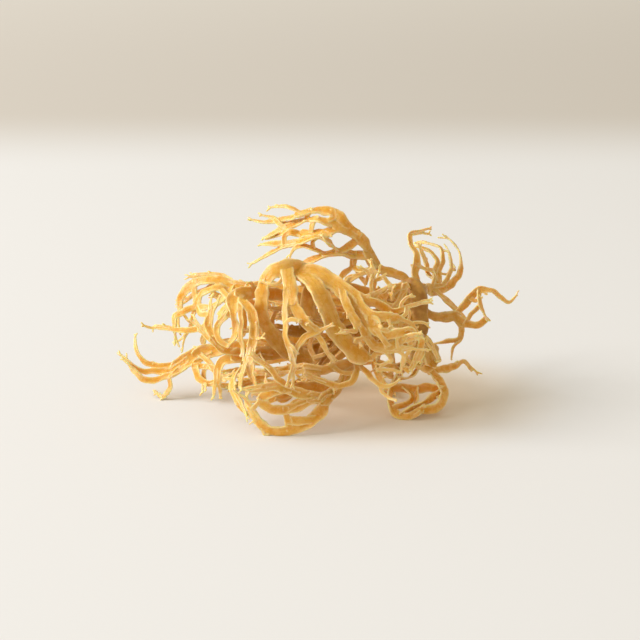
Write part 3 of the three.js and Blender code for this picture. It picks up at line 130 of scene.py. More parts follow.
# Each frond has the way its flat side looks, then its blades. A blade is [width at its root, width at
# its end, place, place, ...], and starts from the nearest station of the blades before it.
FRONDS = {
    "upper_left": {
        "face": [0.1, 0.1, -1.1],
        "forks": 0,
        "blades": [
            [1.6, 3.4, [21, 8.2, 3.4], [18, 10.6, 5.2], [14, 11.6, 7], [12.5, 13.4, 7],
             [11.3, 15.3, 6.5]],
            [3.0, 2.6, [11.3, 15.3, 6.5], [10.5, 17.5, 6], [8.9, 19.4, 5.5], [6.6, 20.9, 5]],
            [2.7, 2.5, [6.6, 20.9, 5], [5.4, 22.9, 5], [3.6, 24.6, 5.5], [0.8, 25.4, 6],
             [-2.2, 25.2, 7], [-4.8, 24.5, 8]],
            [1.2, 0.7, [-4.8, 24.5, 8], [-6.4, 25.8, 9], [-8.6, 26.2, 10.5], [-11.6, 25.9, 12]],
            [1.7, 0.9, [-4.8, 24.5, 8], [-7.2, 23.5, 9], [-10, 22.9, 10.5], [-13.2, 22.6, 12],
             [-16, 23.1, 13]],
            [2.6, 2.3, [6.6, 20.9, 5], [4.2, 21.4, 4.5], [2, 22.6, 4.5], [-0.6, 23.4, 5.5],
             [-3, 23.2, 6.5], [-5.6, 22.3, 8]],
            [1.2, 0.8, [-5.6, 22.3, 8], [-8.2, 22.2, 9.5], [-11, 23.6, 11], [-13.8, 24.2, 12]],
            [1.9, 1.2, [-5.6, 22.3, 8], [-8.2, 21.2, 9], [-10.2, 20.3, 10], [-12.8, 18.8, 11.5]],
            [2.7, 2.5, [4.2, 21.4, 4.5], [2.3, 20.6, 4], [0.2, 20, 4], [-2.4, 20, 5], [-5, 19.8, 6.5]],
            [2.0, 1.2, [-5, 19.8, 6.5], [-7.4, 20.3, 8], [-9.6, 19.8, 9.5], [-11.6, 19, 11],
             [-13.4, 17.9, 12.5]],
            [3.0, 2.8, [11.3, 15.3, 6.5], [9.2, 14.8, 6.5], [6.8, 15.3, 6], [4.4, 15.8, 5]],
            [2.6, 2.4, [4.4, 15.8, 5], [2.9, 17.4, 4], [1.2, 18.7, 3.5], [-0.8, 19.3, 3.5],
             [-2.8, 18.5, 4.5]],
            [2.2, 1.4, [-2.8, 18.5, 4.5], [-5.2, 17.8, 6], [-8, 17.3, 7.5], [-11, 17.6, 9],
             [-13.8, 17.3, 10.5]],
            [2.5, 1.7, [4.4, 15.8, 5], [2, 15.3, 4], [-0.4, 14.5, 4], [-2.6, 13.5, 4.5],
             [-4.8, 12.8, 5.5]],
            [1.6, 1.3, [2, 15.3, 4], [0, 15.8, 3.5], [-2, 16.5, 4], [-4.2, 17.1, 5.2]],
            [1.0, 0.7, [-4.2, 17.1, 5.2], [-5.8, 16.4, 6], [-6.9, 14.8, 7]],
            [1.4, 0.9, [-8, 17.3, 7.5], [-10.2, 16, 9], [-12.6, 14.7, 10.5], [-14.4, 13.4, 11.5],
             [-16, 12.8, 12]],
            [1.9, 1.8, [8.9, 19.4, 5.5], [7.6, 17.7, 5.5], [5.4, 16.2, 5]],
            [1.7, 1.3, [9.2, 14.8, 6.5], [7.8, 12.6, 5.5], [5.9, 11, 5], [4.4, 9.6, 4.5], [4, 8, 4]],
            [1.3, 1.0, [7.8, 12.6, 5.5], [8.8, 11.2, 5], [9.3, 9.6, 5], [10.4, 8.2, 5]],
            [1.4, 1.0, [12.5, 13.4, 7], [11.4, 11.6, 3], [9.6, 10.5, 0.5], [7.4, 9.4, -1],
             [5.4, 7.6, -1.5]],
            [1.5, 1.3, [3.6, 24.6, 5.5], [3.2, 23.6, 5], [2, 22.6, 4.5]],
            [1.4, 1.2, [-2.2, 25.2, 7], [-2.8, 24.2, 6.8], [-3, 23.2, 6.5]],
            [1.4, 1.2, [-0.6, 23.4, 5.5], [-1.8, 22, 5], [-2.4, 20, 5]],
            [1.5, 1.3, [2.3, 20.6, 4], [2, 19.6, 3.8], [1.2, 18.7, 3.5]],
            [1.3, 1.1, [-8.2, 21.2, 9], [-9.4, 22.2, 10], [-11, 23.6, 11]],
            [1.3, 1.1, [-7.4, 20.3, 8], [-8.2, 19, 7.8], [-8, 17.3, 7.5]],
            [1.3, 1.1, [-0.8, 19.3, 3.5], [-1.8, 18, 3.8], [-2, 16.5, 4]],
        ],
    },
    "upper_right": {
        "face": [0.3, -0.1, -1],
        "blades": [
            [1.6, 3.2, [22, 6.2, 3], [24.6, 7.2, 6.4], [25, 7, 11.5], [26.2, 7, 15]],
            [2.4, 2.0, [24.6, 7.2, 6.4], [22.6, 8.6, 13], [21.8, 10.6, 15], [22.2, 12.6, 17]],
            [1.6, 1.0, [22.2, 12.6, 17], [22.2, 14.8, 18], [21.1, 17, 19], [20.4, 18.9, 20],
             [21.4, 20.2, 21], [23.2, 20.2, 22]],
            [1.2, 0.9, [22.2, 12.6, 17], [24.4, 11.7, 18], [26.8, 11.2, 19]],
            [2.6, 2.2, [26.2, 7, 15], [26.8, 9, 17], [27.2, 11, 19]],
            [1.6, 1.0, [27.2, 11, 19], [27, 13.4, 20], [25.8, 15.2, 21], [24.2, 16.4, 22],
             [22.8, 16.8, 23]],
            [1.4, 1.0, [27.2, 11, 19], [28.2, 13.6, 21], [28, 16, 22], [26.6, 17.5, 23],
             [24.8, 17.6, 24]],
            [2.2, 1.6, [26.2, 7, 15], [28.6, 7.5, 17], [30.8, 8.8, 20], [32.2, 11.4, 22]],
            [1.2, 0.8, [32.2, 11.4, 22], [32.4, 14, 23], [31.6, 16.6, 24], [30.2, 18.2, 24.5]],
            [2.4, 1.8, [26.2, 7, 15], [28, 5.6, 14], [29.6, 4.2, 13.5], [31, 2.8, 13.5]],
            [1.6, 1.2, [24.6, 7.2, 6.4], [23.8, 4.4, 10.5], [24.2, 2.4, 12], [24.6, 0.2, 13]],
            [1.4, 1.0, [26.8, 9, 17], [24.9, 10.4, 18.4], [24.4, 13, 19.8], [23.6, 15, 21.4]],
            [1.4, 1.0, [28.6, 7.5, 17], [29.4, 10, 19], [30.2, 12.6, 21], [29.8, 15, 22.5]],
        ],
    },
    "right": {
        "face": [0.2, 0, -1],
        "forks": 0,
        "blades": [
            [1.6, 2.8, [22.4, 3, 2.4], [25.4, 1.2, 5], [28.8, 0.5, 8], [31, 0.9, 9]],
            [2.0, 1.8, [31, 0.9, 9], [32.6, 2.6, 9], [34, 4.2, 8.5], [35, 5.9, 8], [36.6, 6.9, 8]],
            [1.4, 0.8, [36.6, 6.9, 8], [38.8, 6.9, 8], [40.8, 6, 8.5], [42, 4.6, 9], [43.4, 4.1, 9.5],
             [45.3, 5.8, 10.5]],
            [1.3, 1.1, [36.6, 6.9, 8], [37, 5, 7.3], [36.9, 3, 7], [37.6, 1.4, 7], [38.3, 0.3, 7.3]],
            [2.2, 1.5, [31, 0.9, 9], [33, -0.6, 9], [35.4, -1.2, 8.5], [37.4, -0.9, 8], [38.3, 0.3, 7.3]],
            [1.3, 1.0, [33, -0.6, 9], [34.4, 1.1, 8.8], [35.8, 1.5, 8], [37, 2.1, 7.2]],
            [1.2, 0.9, [34, 4.2, 8.5], [35.6, 4.4, 8], [36.9, 5.2, 7.4]],
            [1.5, 1.1, [31, 0.9, 9], [32.8, -2.2, 9.5], [33, -3.6, 10], [31.2, -4.6, 10.5],
             [28.6, -5, 11], [26.6, -5.4, 12]],
            [1.0, 0.7, [31.2, -4.6, 10.5], [30.4, -6.8, 11], [30.2, -9, 11.5]],
        ],
    },
    "lower_right": {
        "face": [0.3, 0, -1],
        "blades": [
            [1.6, 2.8, [22.8, -1.4, 1], [22.4, -4, 4.8], [21.4, -6.6, 6], [20.4, -9.4, 5.5]],
            [2.7, 2.2, [20.4, -9.4, 5.5], [18.4, -12, 4], [17, -14.8, 2], [16.2, -17.6, 0],
             [16.8, -20.2, -2]],
            [2.1, 1.7, [16.8, -20.2, -2], [18.6, -22.2, -3.2], [21, -22, -3.2], [23, -20.8, -2.4]],
            [2.7, 2.3, [20.4, -9.4, 5.5], [22.8, -10.6, 5], [25.2, -11.8, 4], [27, -13.6, 3],
             [28.3, -16, 1.5], [28.2, -18.4, 0], [26.6, -20.4, -1.8], [24.4, -21.3, -2.6]],
            [2.3, 2.0, [17, -14.8, 2], [19.6, -15.7, 2], [22.6, -15.9, 2], [25.4, -15.5, 2],
             [27.8, -15.2, 2]],
            [1.7, 1.4, [19.6, -15.7, 2], [21.2, -17.4, 0.5], [20.4, -19, -1], [18, -20, -2]],
            [1.8, 1.5, [28.3, -16, 1.5], [26, -17.6, 0], [23.8, -19.2, -1], [21.2, -20.4, -2],
             [18.8, -22, -3.2]],
            [2.2, 1.6, [25.2, -11.8, 4], [27.6, -11.2, 5.5], [29.8, -11.6, 7], [31, -10.6, 8]],
            [1.2, 0.8, [31, -10.6, 8], [32.4, -10, 8.5], [33.6, -9.4, 9], [34.6, -11, 9.5]],
            [1.7, 1.3, [21.4, -6.6, 6], [19.4, -5.8, 4.6], [17, -5.6, 3.6], [14.6, -6, 3],
             [13.4, -7.6, 2.5], [13.2, -9.6, 2]],
            [1.4, 1.2, [17, -5.6, 3.6], [16.5, -7.8, 3.4], [16.8, -10.2, 3.4]],
            [1.5, 1.3, [20.4, -9.4, 5.5], [19, -10.4, 4.6], [16.8, -10.2, 3.4], [14.8, -10.4, 2.4],
             [13.2, -9.6, 2]],
            [1.8, 1.5, [22.8, -10.6, 5], [21.8, -12.4, 4], [20, -13.6, 3], [17.6, -13.6, 2.8]],
            [1.4, 1.2, [22.6, -15.9, 2], [22.4, -17.8, 0.6], [21.2, -20.4, -2]],
        ],
    },
    "right_cup": {
        "face": [0, 0.3, -2.4],
        "blades": [
            [1.6, 5.4, [23.3, -2.8, -0.2], [24.2, -4.2, -4.4], [24.8, -5.6, -7.4], [25.2, -7.4, -9]],
            [6.0, 4.2, [25.2, -7.4, -9], [25.2, -9, -10], [24.8, -10.6, -10.6]],
            [1.5, 1.0, [25.2, -9, -10], [27.2, -9.6, -12], [27.6, -8, -13], [26.2, -7, -13]],
            [1.3, 0.9, [24.8, -10.6, -10.6], [23.4, -11.2, -12], [22, -10.6, -12.6]],
        ],
    },
    "front_arch": {
        "face": [-0.1, 0, -1],
        "blades": [
            [1.8, 5.0, [22, 6.4, 3], [18, 5.6, 0.6], [12.5, 6, -2.5], [7.5, 6.8, -5], [2.6, 8.2, -8.5],
             [-1.4, 10, -11.5], [-5, 11.4, -14], [-7.6, 11.8, -15.8]],
            [4.0, 4.8, [-5, 11.4, -14], [-2, 9.2, -17.5], [0.3, 6, -19.5], [1.7, 2.8, -20.3],
             [2.9, -0.4, -20.6], [4.8, -3.6, -20.6], [7, -6.2, -20.2], [9.4, -8, -19.4]],
            [1.9, 1.4, [9.4, -8, -19.4], [11.2, -8.9, -18.8], [12.3, -8, -18.3], [12, -6.6, -18]],
            [3.2, 3.4, [-7.6, 11.8, -15.8], [-7.2, 9.6, -17.6], [-6.8, 7.2, -18.9], [-6.9, 4.8, -19.8]],
            [2.7, 2.4, [-6.9, 4.8, -19.8], [-5.6, 2.6, -20.6], [-4.2, 0.5, -21.2], [-2.6, -1.4, -21.5],
             [-0.8, -2.8, -21.6]],
            [1.6, 1.3, [-6.9, 4.8, -19.8], [-8, 2.4, -20.3], [-8, -0.2, -20.7], [-7.9, -2.6, -21.1],
             [-7.6, -5, -21.2], [-6.8, -7.2, -21.2], [-6.2, -9.6, -21]],
            [1.7, 1.0, [-0.8, -2.8, -21.6], [0.2, -4.6, -21.6], [1.1, -6, -21.2], [1.7, -7.4, -20.8]],
            [1.2, 0.6, [-0.8, -2.8, -21.6], [0.8, -2, -22.2], [2.5, -1.2, -22.8]],
            [1.6, 1.3, [-0.8, -2.8, -21.6], [-3.2, -3.8, -21.6], [-4.9, -5.6, -21.4],
             [-5.8, -7.8, -21.2], [-6.2, -9.6, -21]],
            [1.5, 1.2, [-6.2, -9.6, -21], [-6.1, -10.8, -21], [-6.4, -12, -21]],
            [1.1, 0.9, [-8, -0.2, -20.7], [-6.4, 0.2, -21.4], [-4.8, -0.2, -21.4]],
            [3.6, 3.2, [-7.6, 11.8, -15.8], [-10.6, 11.3, -16], [-12.7, 9.2, -15.5], [-13.4, 6.4, -15],
             [-13.6, 3.2, -14.3], [-13.2, 0.2, -13]],
            [3.2, 4.8, [-13.2, 0.2, -13], [-11.8, -2.4, -11.5], [-9.8, -4.8, -10.8], [-7, -7.2, -10.8],
             [-3.6, -8.8, -11]],
            [1.8, 1.2, [-3.6, -8.8, -11], [-1.2, -9.2, -12], [0.8, -8.2, -13], [0.4, -6.8, -13.5]],
            [3.0, 4.2, [-1.4, 10, -11.5], [-2.2, 7.4, -12.8], [-2.8, 4.2, -12.8], [-2.6, 1, -12.2],
             [-1, -1.8, -11.8]],
            [1.6, 1.0, [-1, -1.8, -11.8], [-1.9, -4.6, -13], [-2.2, -7.2, -14.4], [-0.6, -9, -15.4],
             [0.8, -8, -15.8]],
            [3.0, 4.4, [-5, 11.4, -14], [-1.6, 11.4, -15.6], [1.6, 9.8, -17], [4.6, 7.4, -18],
             [7.6, 4.8, -18.6]],
            [3.4, 2.8, [7.6, 4.8, -18.6], [9.4, 2.2, -19], [11.2, -0.4, -19.5]],
            [2.4, 2.0, [7.6, 4.8, -18.6], [10.4, 4.6, -18.8], [13, 4, -18.5], [15, 2.6, -18.5],
             [16.6, 1.8, -18.2]],
            [1.3, 0.9, [16.6, 1.8, -18.2], [18.4, 2.7, -18], [20.6, 3.1, -17.5], [22.2, 3, -17],
             [23.1, 3.9, -16.5]],
            [2.6, 2.2, [9.4, 2.2, -19], [11.6, 1.2, -19.5], [14, 0.8, -19.5], [16.4, 0.7, -19],
             [18.4, 0.4, -18.5]],
            [1.2, 0.9, [18.4, 0.4, -18.5], [19.6, 1.6, -18], [20.1, 2.9, -17.5]],
            [2.8, 2.4, [11.2, -0.4, -19.5], [13.2, -2.6, -19.5], [15.6, -3.2, -19.2], [18, -3, -18.5]],
            [1.5, 1.2, [15.6, -3.2, -19.2], [16.6, -1.5, -19], [17.8, -1.3, -18.5], [19.2, -1.2, -18]],
            [2.2, 1.9, [11.2, -0.4, -19.5], [10.4, -3, -19.2], [11.8, -5.4, -19], [14, -6.2, -18.8],
             [16.6, -5.8, -18.5], [18.8, -4.6, -18]],
            [1.8, 1.4, [18, -3, -18.5], [20.4, -3, -18], [22.6, -3.9, -17.5], [23.7, -5.2, -17],
             [22.8, -7, -16.8], [22, -9, -16.5]],
            [1.6, 1.3, [14, -6.2, -18.8], [16.4, -7.2, -18.4], [18.9, -6.6, -18], [20.8, -6.4, -17.5]],
            [1.2, 0.9, [16.4, -7.2, -18.4], [16.5, -8.8, -18], [16.2, -10.2, -17.5],
             [14.4, -10.3, -17.5]],
            [1.1, 0.9, [18.9, -6.6, -18], [19.3, -8.4, -17.5], [19.1, -10, -17]],
            [2.2, 1.8, [4.6, 7.4, -18], [5.8, 4.4, -19.4], [7.4, 1, -20], [8.9, -1.4, -20],
             [10.4, -3, -19.2]],
            [1.2, 1.0, [8.9, -1.4, -20], [8.2, -2.8, -20.6], [7.2, -2.6, -21]],
            [1.4, 1.2, [13.2, -2.6, -19.5], [14.6, -4.6, -19.6], [16.6, -5.8, -18.5]],
            [1.2, 0.9, [18.4, 0.4, -18.5], [20, -0.6, -18.4], [21.8, -1.6, -18], [23.6, -3.4, -17.4]],
        ],
    },
    "sprig": {
        "face": [0.2, -0.2, -1],
        "blades": [
            [1.5, 2.0, [21.4, 7.6, 3.2], [18.8, 8, -1.6], [15.2, 5.4, -5], [12.8, 5.4, -10],
             [12, 7, -13], [12.1, 9, -13.8]],
            [1.3, 0.8, [12.1, 9, -13.8], [12.5, 10.6, -14.2], [12.1, 12, -14.6]],
            [1.0, 0.7, [12.5, 10.6, -14.2], [11.4, 11.2, -14.5], [10.2, 11.4, -14.6], [9.4, 12.1, -14.8]],
            [0.9, 0.6, [12.5, 10.6, -14.2], [13.3, 11.6, -14.8]],
            [1.3, 1.0, [12.1, 9, -13.8], [13.4, 9.9, -14], [15.2, 9.7, -14], [16.2, 8.6, -13.8],
             [15.5, 7.2, -13.6], [13.9, 6.7, -13.3]],
            [2.4, 2.0, [15.2, 5.4, -5], [16.6, 5.6, -7.5], [17, 7.2, -8.5], [17.8, 8.4, -8.5],
             [19.4, 8, -8.5], [19.8, 6.6, -8], [18.8, 5.4, -7.6]],
        ],
    },
    "front_middle": {
        "face": [0, 0.2, -1.1],
        "blades": [
            [1.6, 2.8, [22.4, 1.4, 2], [18.8, 0.2, -1.4], [14, -2.6, -6], [11.2, -6, -10.5],
             [8.6, -9.6, -14.2]],
            [2.6, 2.2, [8.6, -9.6, -14.2], [5.4, -10.3, -16.2], [2, -11.2, -17.5], [-0.6, -11.5, -18],
             [-3, -11.1, -18]],
            [1.8, 1.3, [8.6, -9.6, -14.2], [8.3, -12, -16], [7.2, -14.2, -17], [4.8, -15.1, -17.6],
             [2.2, -14.6, -18], [0, -13.7, -18.3], [-1.4, -13.3, -18.4]],
            [1.3, 1.0, [2, -11.2, -17.5], [4, -12.3, -17.5], [6.2, -12, -17], [8.2, -11.6, -16]],
            [1.8, 0.7, [8.6, -9.6, -14.2], [10.4, -11.6, -15.5], [12, -13.6, -16.3],
             [14.4, -15.1, -16.6], [16.8, -15.2, -16.4], [18.2, -13.9, -16]],
        ],
    },
    "front_low": {
        "face": [0, 0.1, -1.1],
        "blades": [
            [1.6, 3.2, [22.8, -1, 1], [19, -2.4, -0.2], [13.8, -5, -2], [9.4, -8, -5], [6, -13, -9],
             [3.2, -16.4, -12.5], [0.8, -18.2, -14.8]],
            [3.0, 1.8, [0.8, -18.2, -14.8], [-2.2, -17.8, -16], [-5, -16.7, -17.3], [-8, -15.7, -18.2],
             [-10.6, -15.3, -19.4], [-12.8, -15.6, -20.6]],
            [2.4, 2.3, [-2.2, -18.3, -16], [-5, -19.9, -16.8], [-8.4, -20.7, -17.4],
             [-11.6, -20.3, -17.8], [-14, -18.8, -18]],
            [3.4, 2.2, [0.8, -18.2, -14.8], [0.6, -20.4, -15], [-1.4, -22.6, -15.8],
             [-4.4, -24.2, -16.4], [-8.2, -25.8, -16.8], [-11.6, -25.4, -16.8], [-14.2, -23.4, -17],
             [-15.9, -20.6, -17.4]],
            [1.9, 1.6, [-8.4, -20.7, -17.4], [-7.6, -22.8, -17.2], [-6.4, -25, -16.8]],
            [1.3, 0.9, [-14, -18.8, -18], [-15.2, -20.2, -17.8], [-16.6, -20.8, -17.4]],
            [1.6, 1.2, [-8, -15.9, -18.2], [-9.4, -13.7, -19], [-11, -11.8, -19.2],
             [-12.6, -10.2, -19], [-14.2, -9.2, -18.8]],
            [3.0, 1.6, [9.4, -8, -5], [7.6, -5.4, -8.5], [5.4, -3, -10.5], [2.8, -2, -12]],
            [3.6, 2.6, [3.2, -16.4, -12.5], [-1, -15.6, -12.4], [-5, -16, -12.8], [-9, -17.2, -13.4]],
            [2.4, 2.2, [-8, -15.7, -18.2], [-11, -16.4, -18.6], [-12.8, -17.6, -18.4], [-14, -18.8, -18]],
            [1.8, 1.6, [-2.2, -18.3, -16], [-4.2, -18.6, -16.4], [-6.4, -19.6, -17],
             [-8.4, -20.7, -17.4]],
            [2.2, 2.0, [-1.4, -22.6, -15.8], [-3.2, -22.9, -16.4], [-5.4, -23.3, -16.9],
             [-7.6, -22.8, -17.2]],
        ],
    },
    "left_front": {
        "face": [-0.4, -0.1, -1],
        "blades": [
            [1.6, 3.4, [22.2, 5.4, 3], [18.6, 5, 3.6], [9, 3.8, 1], [1, 4.2, -1], [-7, 5.4, -3.5],
             [-13.6, 6.4, -7], [-18, 5.8, -10], [-20, 4.4, -12]],
            [2.0, 1.4, [1, 4.2, -1], [-3, 1.6, 0.5], [-8, 0.6, 1.5], [-13, 1.4, 2]],
            [2.3, 2.3, [-18, 5.8, -10], [-17.4, 4, -13], [-15.8, 1.8, -14.5], [-15.1, -0.8, -15.5],
             [-15.1, -3.8, -16], [-15.8, -6.8, -16.4], [-16.2, -9.6, -16.8], [-15.9, -12.2, -17]],
            [1.8, 1.3, [-20, 4.4, -12], [-20.1, 2.2, -13], [-19.6, -0.2, -13.5], [-19.4, -2.6, -14],
             [-20, -4.8, -14.3], [-21.6, -5.9, -14.3], [-23.2, -4.6, -14], [-23.9, -2.4, -13.6],
             [-23.1, -0.4, -13.2], [-22, 0.6, -13]],
            [1.3, 1.0, [-18.6, 5, -11.5], [-18.4, 2.6, -14.2], [-18, 0.4, -15], [-18.2, -2, -15.2],
             [-18.4, -4.4, -15.2], [-17.8, -6, -15]],
            [1.6, 0.7, [-16.2, -9.6, -16.8], [-17.7, -11.4, -17], [-18.2, -14, -17],
             [-18.4, -16.2, -17], [-17.4, -17.4, -17], [-16.4, -16.6, -17]],
            [1.0, 0.7, [-15.1, -3.8, -16], [-14.2, -4.4, -17], [-13.2, -4, -17.5]],
        ],
    },
    "left_middle": {
        "face": [-0.5, 0, -1],
        "blades": [
            [1.6, 3.4, [22.4, 2.2, 2.2], [18.8, 1.6, 2.8], [9, -3, 1], [1, -6.4, -1], [-7, -7.6, -3],
             [-14, -7.8, -5.5], [-19.2, -8.2, -8]],
            [2.0, 1.4, [1, -6.4, -1], [-4, -9.6, 0.5], [-9, -11.8, 1.5], [-14, -12, 2.5]],
            [1.8, 1.3, [9, -3, 1], [6, -7, 2.5], [2, -10.8, 3.5], [-2.4, -13.4, 4]],
            [2.4, 1.8, [-19.2, -8.2, -8], [-22, -9.4, -8.5], [-23.6, -11.6, -8.5], [-23.6, -14, -8.5]],
            [2.6, 2.0, [-14, -7.8, -5.5], [-18, -10.6, -9], [-20, -13.4, -11], [-20, -16.2, -12.5],
             [-18.8, -18.6, -13.5]],
            [2.2, 1.6, [-19.2, -8.2, -8], [-22.4, -6.6, -9], [-24.8, -4, -9.5], [-25.6, -1, -9.5],
             [-25, 1.8, -9]],
            [1.4, 1.0, [-24.8, -4, -9.5], [-26.8, -3, -9], [-28.2, -1.2, -8.5]],
            [1.6, 1.2, [-14, -7.8, -5.5], [-12.6, -10.4, -8], [-12.2, -12.4, -10.4],
             [-12.6, -13.6, -11.8]],
        ],
    },
    "left_back": {
        "face": [-0.3, 0.1, -1.1],
        "blades": [
            [1.6, 3.4, [21.9, 6.4, 3.1], [18.4, 6.6, 5.4], [10.5, 5, 7], [3, 4.8, 7.5], [-4, 6.6, 8],
             [-10, 7, 8], [-15.6, 7.2, 8.5], [-20.4, 7.6, 9.5]],
            [2.0, 1.4, [3, 4.8, 7.5], [-1, 3.4, 11], [-6, 4, 14], [-11, 4.8, 16]],
            [2.6, 2.3, [-20.4, 7.6, 9.5], [-23.4, 8.9, 10], [-26.4, 9.3, 11], [-29, 8.5, 12],
             [-31.2, 6.6, 12.5]],
            [2.0, 1.6, [-31.2, 6.6, 12.5], [-32.4, 4.4, 13], [-32.2, 2.4, 12.6]],
            [1.4, 0.9, [-20.4, 7.6, 9.5], [-21.6, 10, 12.2], [-25, 10.6, 14], [-28, 10.4, 15]],
            [2.0, 1.6, [-20.4, 7.6, 9.5], [-23.6, 7.4, 9], [-26.4, 6.8, 9.5], [-28, 5.2, 10.5],
             [-28.4, 3.2, 11]],
            [1.7, 1.4, [-28.4, 3.2, 11], [-30.6, 2.2, 11.5], [-32.8, 1.6, 12], [-33.7, -0.2, 12],
             [-33.4, -2, 12]],
            [1.8, 1.5, [-20.4, 7.6, 9.5], [-22, 5.2, 8], [-24.2, 3.4, 8], [-26.4, 2.9, 9],
             [-28.4, 3.2, 11]],
            [1.8, 1.6, [-24.2, 3.4, 8], [-25.6, 1.2, 8], [-26.2, -1.4, 8], [-26.6, -3.6, 9.5],
             [-27, -5.4, 12]],
            [2.0, 1.4, [-15.6, 7.2, 8.5], [-18, 5.4, 6.5], [-20.6, 4, 6], [-22.8, 1.8, 6.5],
             [-23.4, -1, 7]],
            [1.5, 1.0, [-23.4, 8.9, 10], [-25.2, 7.8, 12], [-27.2, 6.8, 13.5], [-29.8, 5.4, 14.5]],
            [1.4, 1.0, [-28.4, 3.2, 11], [-29.3, 1, 12.5], [-29.7, -1.4, 13.2], [-31, -3.6, 13.8]],
            [1.5, 1.3, [-29, 8.5, 12], [-28.8, 6.6, 11.6], [-28.8, 4.8, 11.2], [-28.4, 3.2, 11]],
            [1.5, 1.3, [-25.6, 1.2, 8], [-27.4, 1.4, 9.4], [-29, 2, 10.8]],
            [1.6, 1.1, [-26.2, -1.4, 8], [-28.8, -2.2, 9], [-31.6, -2.3, 10], [-34.4, -2, 11],
             [-37.4, -1.6, 12]],
        ],
    },
    "left_low": {
        "face": [-0.2, 0.1, -1.1],
        "blades": [
            [1.6, 3.6, [22.8, -0.8, 1.2], [19.2, -0.6, 4], [9, -2.4, 6], [-1, -4.4, 6], [-11, -5.2, 7],
             [-19.4, -6, 8], [-25.6, -7.2, 9], [-30, -8.8, 10], [-32.6, -10.8, 10.5]],
            [2.0, 1.4, [-1, -4.4, 6], [-5, -7, 9], [-9, -9, 12], [-14, -9.6, 13.5]],
            [2.0, 0.7, [-32.6, -10.8, 10.5], [-35.4, -10.7, 11], [-38.2, -10.5, 11.5],
             [-40.6, -9.4, 12], [-42.1, -7.2, 12.5], [-42.5, -3.6, 13.5]],
            [2.0, 0.7, [-32.6, -10.8, 10.5], [-35.6, -11.8, 10.5], [-38.8, -11.8, 11],
             [-41.8, -11.4, 11.5], [-43.6, -9.9, 12], [-46.2, -7.7, 12.5]],
            [2.0, 1.3, [-32.6, -10.8, 10.5], [-34.6, -12.8, 10], [-37.4, -13.6, 10],
             [-40, -13.9, 10.2], [-41.8, -12.9, 10.6], [-43, -11.4, 11]],
            [1.5, 1.1, [-34, -12, 10.3], [-34.2, -14.4, 10.2], [-34.8, -16.4, 10.4], [-36.4, -18, 11]],
            [1.8, 1.4, [-28, -7.8, 9.5], [-28.6, -10.4, 8], [-28.2, -12.8, 7], [-26.6, -14.4, 6],
             [-24.2, -14.6, 5], [-22.4, -13.6, 4.5]],
            [1.6, 1.3, [-28.6, -10.4, 8], [-26.2, -10.8, 7], [-24, -11.6, 6], [-22.6, -13.2, 5]],
            [1.3, 1.1, [-26.2, -10.8, 7], [-26.8, -12.6, 6.6], [-26.6, -14.4, 6]],
            [1.5, 1.2, [-28, -7.8, 9.5], [-26.2, -9, 8.4], [-24, -11.6, 6]],
        ],
    },
    "inner": {
        "face": [0.2, 0.5, -0.8],
        "blades": [
            [1.6, 4.2, [22.4, 3.2, 2.5], [18.8, 3, 1.8], [12.5, 1, -1.5], [7, 0, -3], [2.4, 0.4, -4]],
            [3.6, 2.4, [2.4, 0.4, -4], [-1.4, 2, -5.5], [-4.6, 2.6, -6.5], [-7.6, 2.2, -7]],
            [3.6, 2.4, [2.4, 0.4, -4], [-1.2, -1.6, -4.6], [-4.2, -2.6, -5.2], [-7.2, -2.4, -5.8]],
            [3.4, 2.0, [7, 0, -3], [5.4, -3.4, -4], [4.2, -5.6, -4.6], [2.6, -7.4, -5]],
        ],
    },
    "back_high": {
        "face": [0, 0.5, 0.9],
        "forks": 3,
        "blades": [
            [1.6, 2.8, [22.3, 4.6, 2.6], [20.6, 4.2, 6.6], [16, 2, 12], [10, 1.4, 17], [3, 2, 20]],
            [2.4, 1.8, [10, 1.4, 17], [7, 4.4, 20], [2, 5.4, 22], [-3, 4.6, 23]],
            [2.6, 2.0, [3, 2, 20], [-3, 1, 21], [-9, 1.4, 21], [-14, 2.8, 20]],
            [2.4, 1.8, [3, 2, 20], [0, -1.6, 22], [-5, -3.4, 23], [-10.6, -3.2, 22]],
            [2.2, 1.6, [16, 2, 12], [17, 3, 17], [14, 5, 21], [9, 6, 23]],
        ],
    },
    "back_low": {
        "face": [0, 0.4, 0.9],
        "forks": 3,
        "blades": [
            [1.6, 2.8, [22.5, 1.2, 2], [20.4, 0.6, 6], [14, -2, 11], [8, -5.6, 14.5], [2, -8, 17]],
            [2.4, 1.8, [8, -5.6, 14.5], [7.4, -9, 18], [6, -12, 20], [4.6, -14.6, 19.6]],
            [2.6, 2.0, [2, -8, 17], [-3, -10, 18.5], [-7.6, -11.4, 19.5], [-12, -12, 20]],
            [2.2, 1.7, [2, -8, 17], [-1, -12, 18.4], [-4.6, -14.4, 19.4], [-8.6, -15.4, 20]],
            [2.2, 1.6, [14, -2, 11], [12.6, -4.6, 14], [12, -8, 17], [13, -11.6, 18], [14.6, -15, 17]],
        ],
    },
}

# How a frond's straps join: SIDE_SUNK is how far a shoot with a root of its own is sunk into its
# parent's strap, as a share of that one's width, and SHOOT_ROOT is its first width, as a share of its
# own. FORK_SWELL is how far a fork's branches have grown to their own widths at the fork. WEB is how
# far a strap goes on past its fork, and WEB_WIDTH how wide it ends, as shares of its width there.
SIDE_SUNK = 0.3
SHOOT_ROOT = 0.8
FORK_SWELL = 0.5
WEB = 0.45
WEB_WIDTH = 0.6

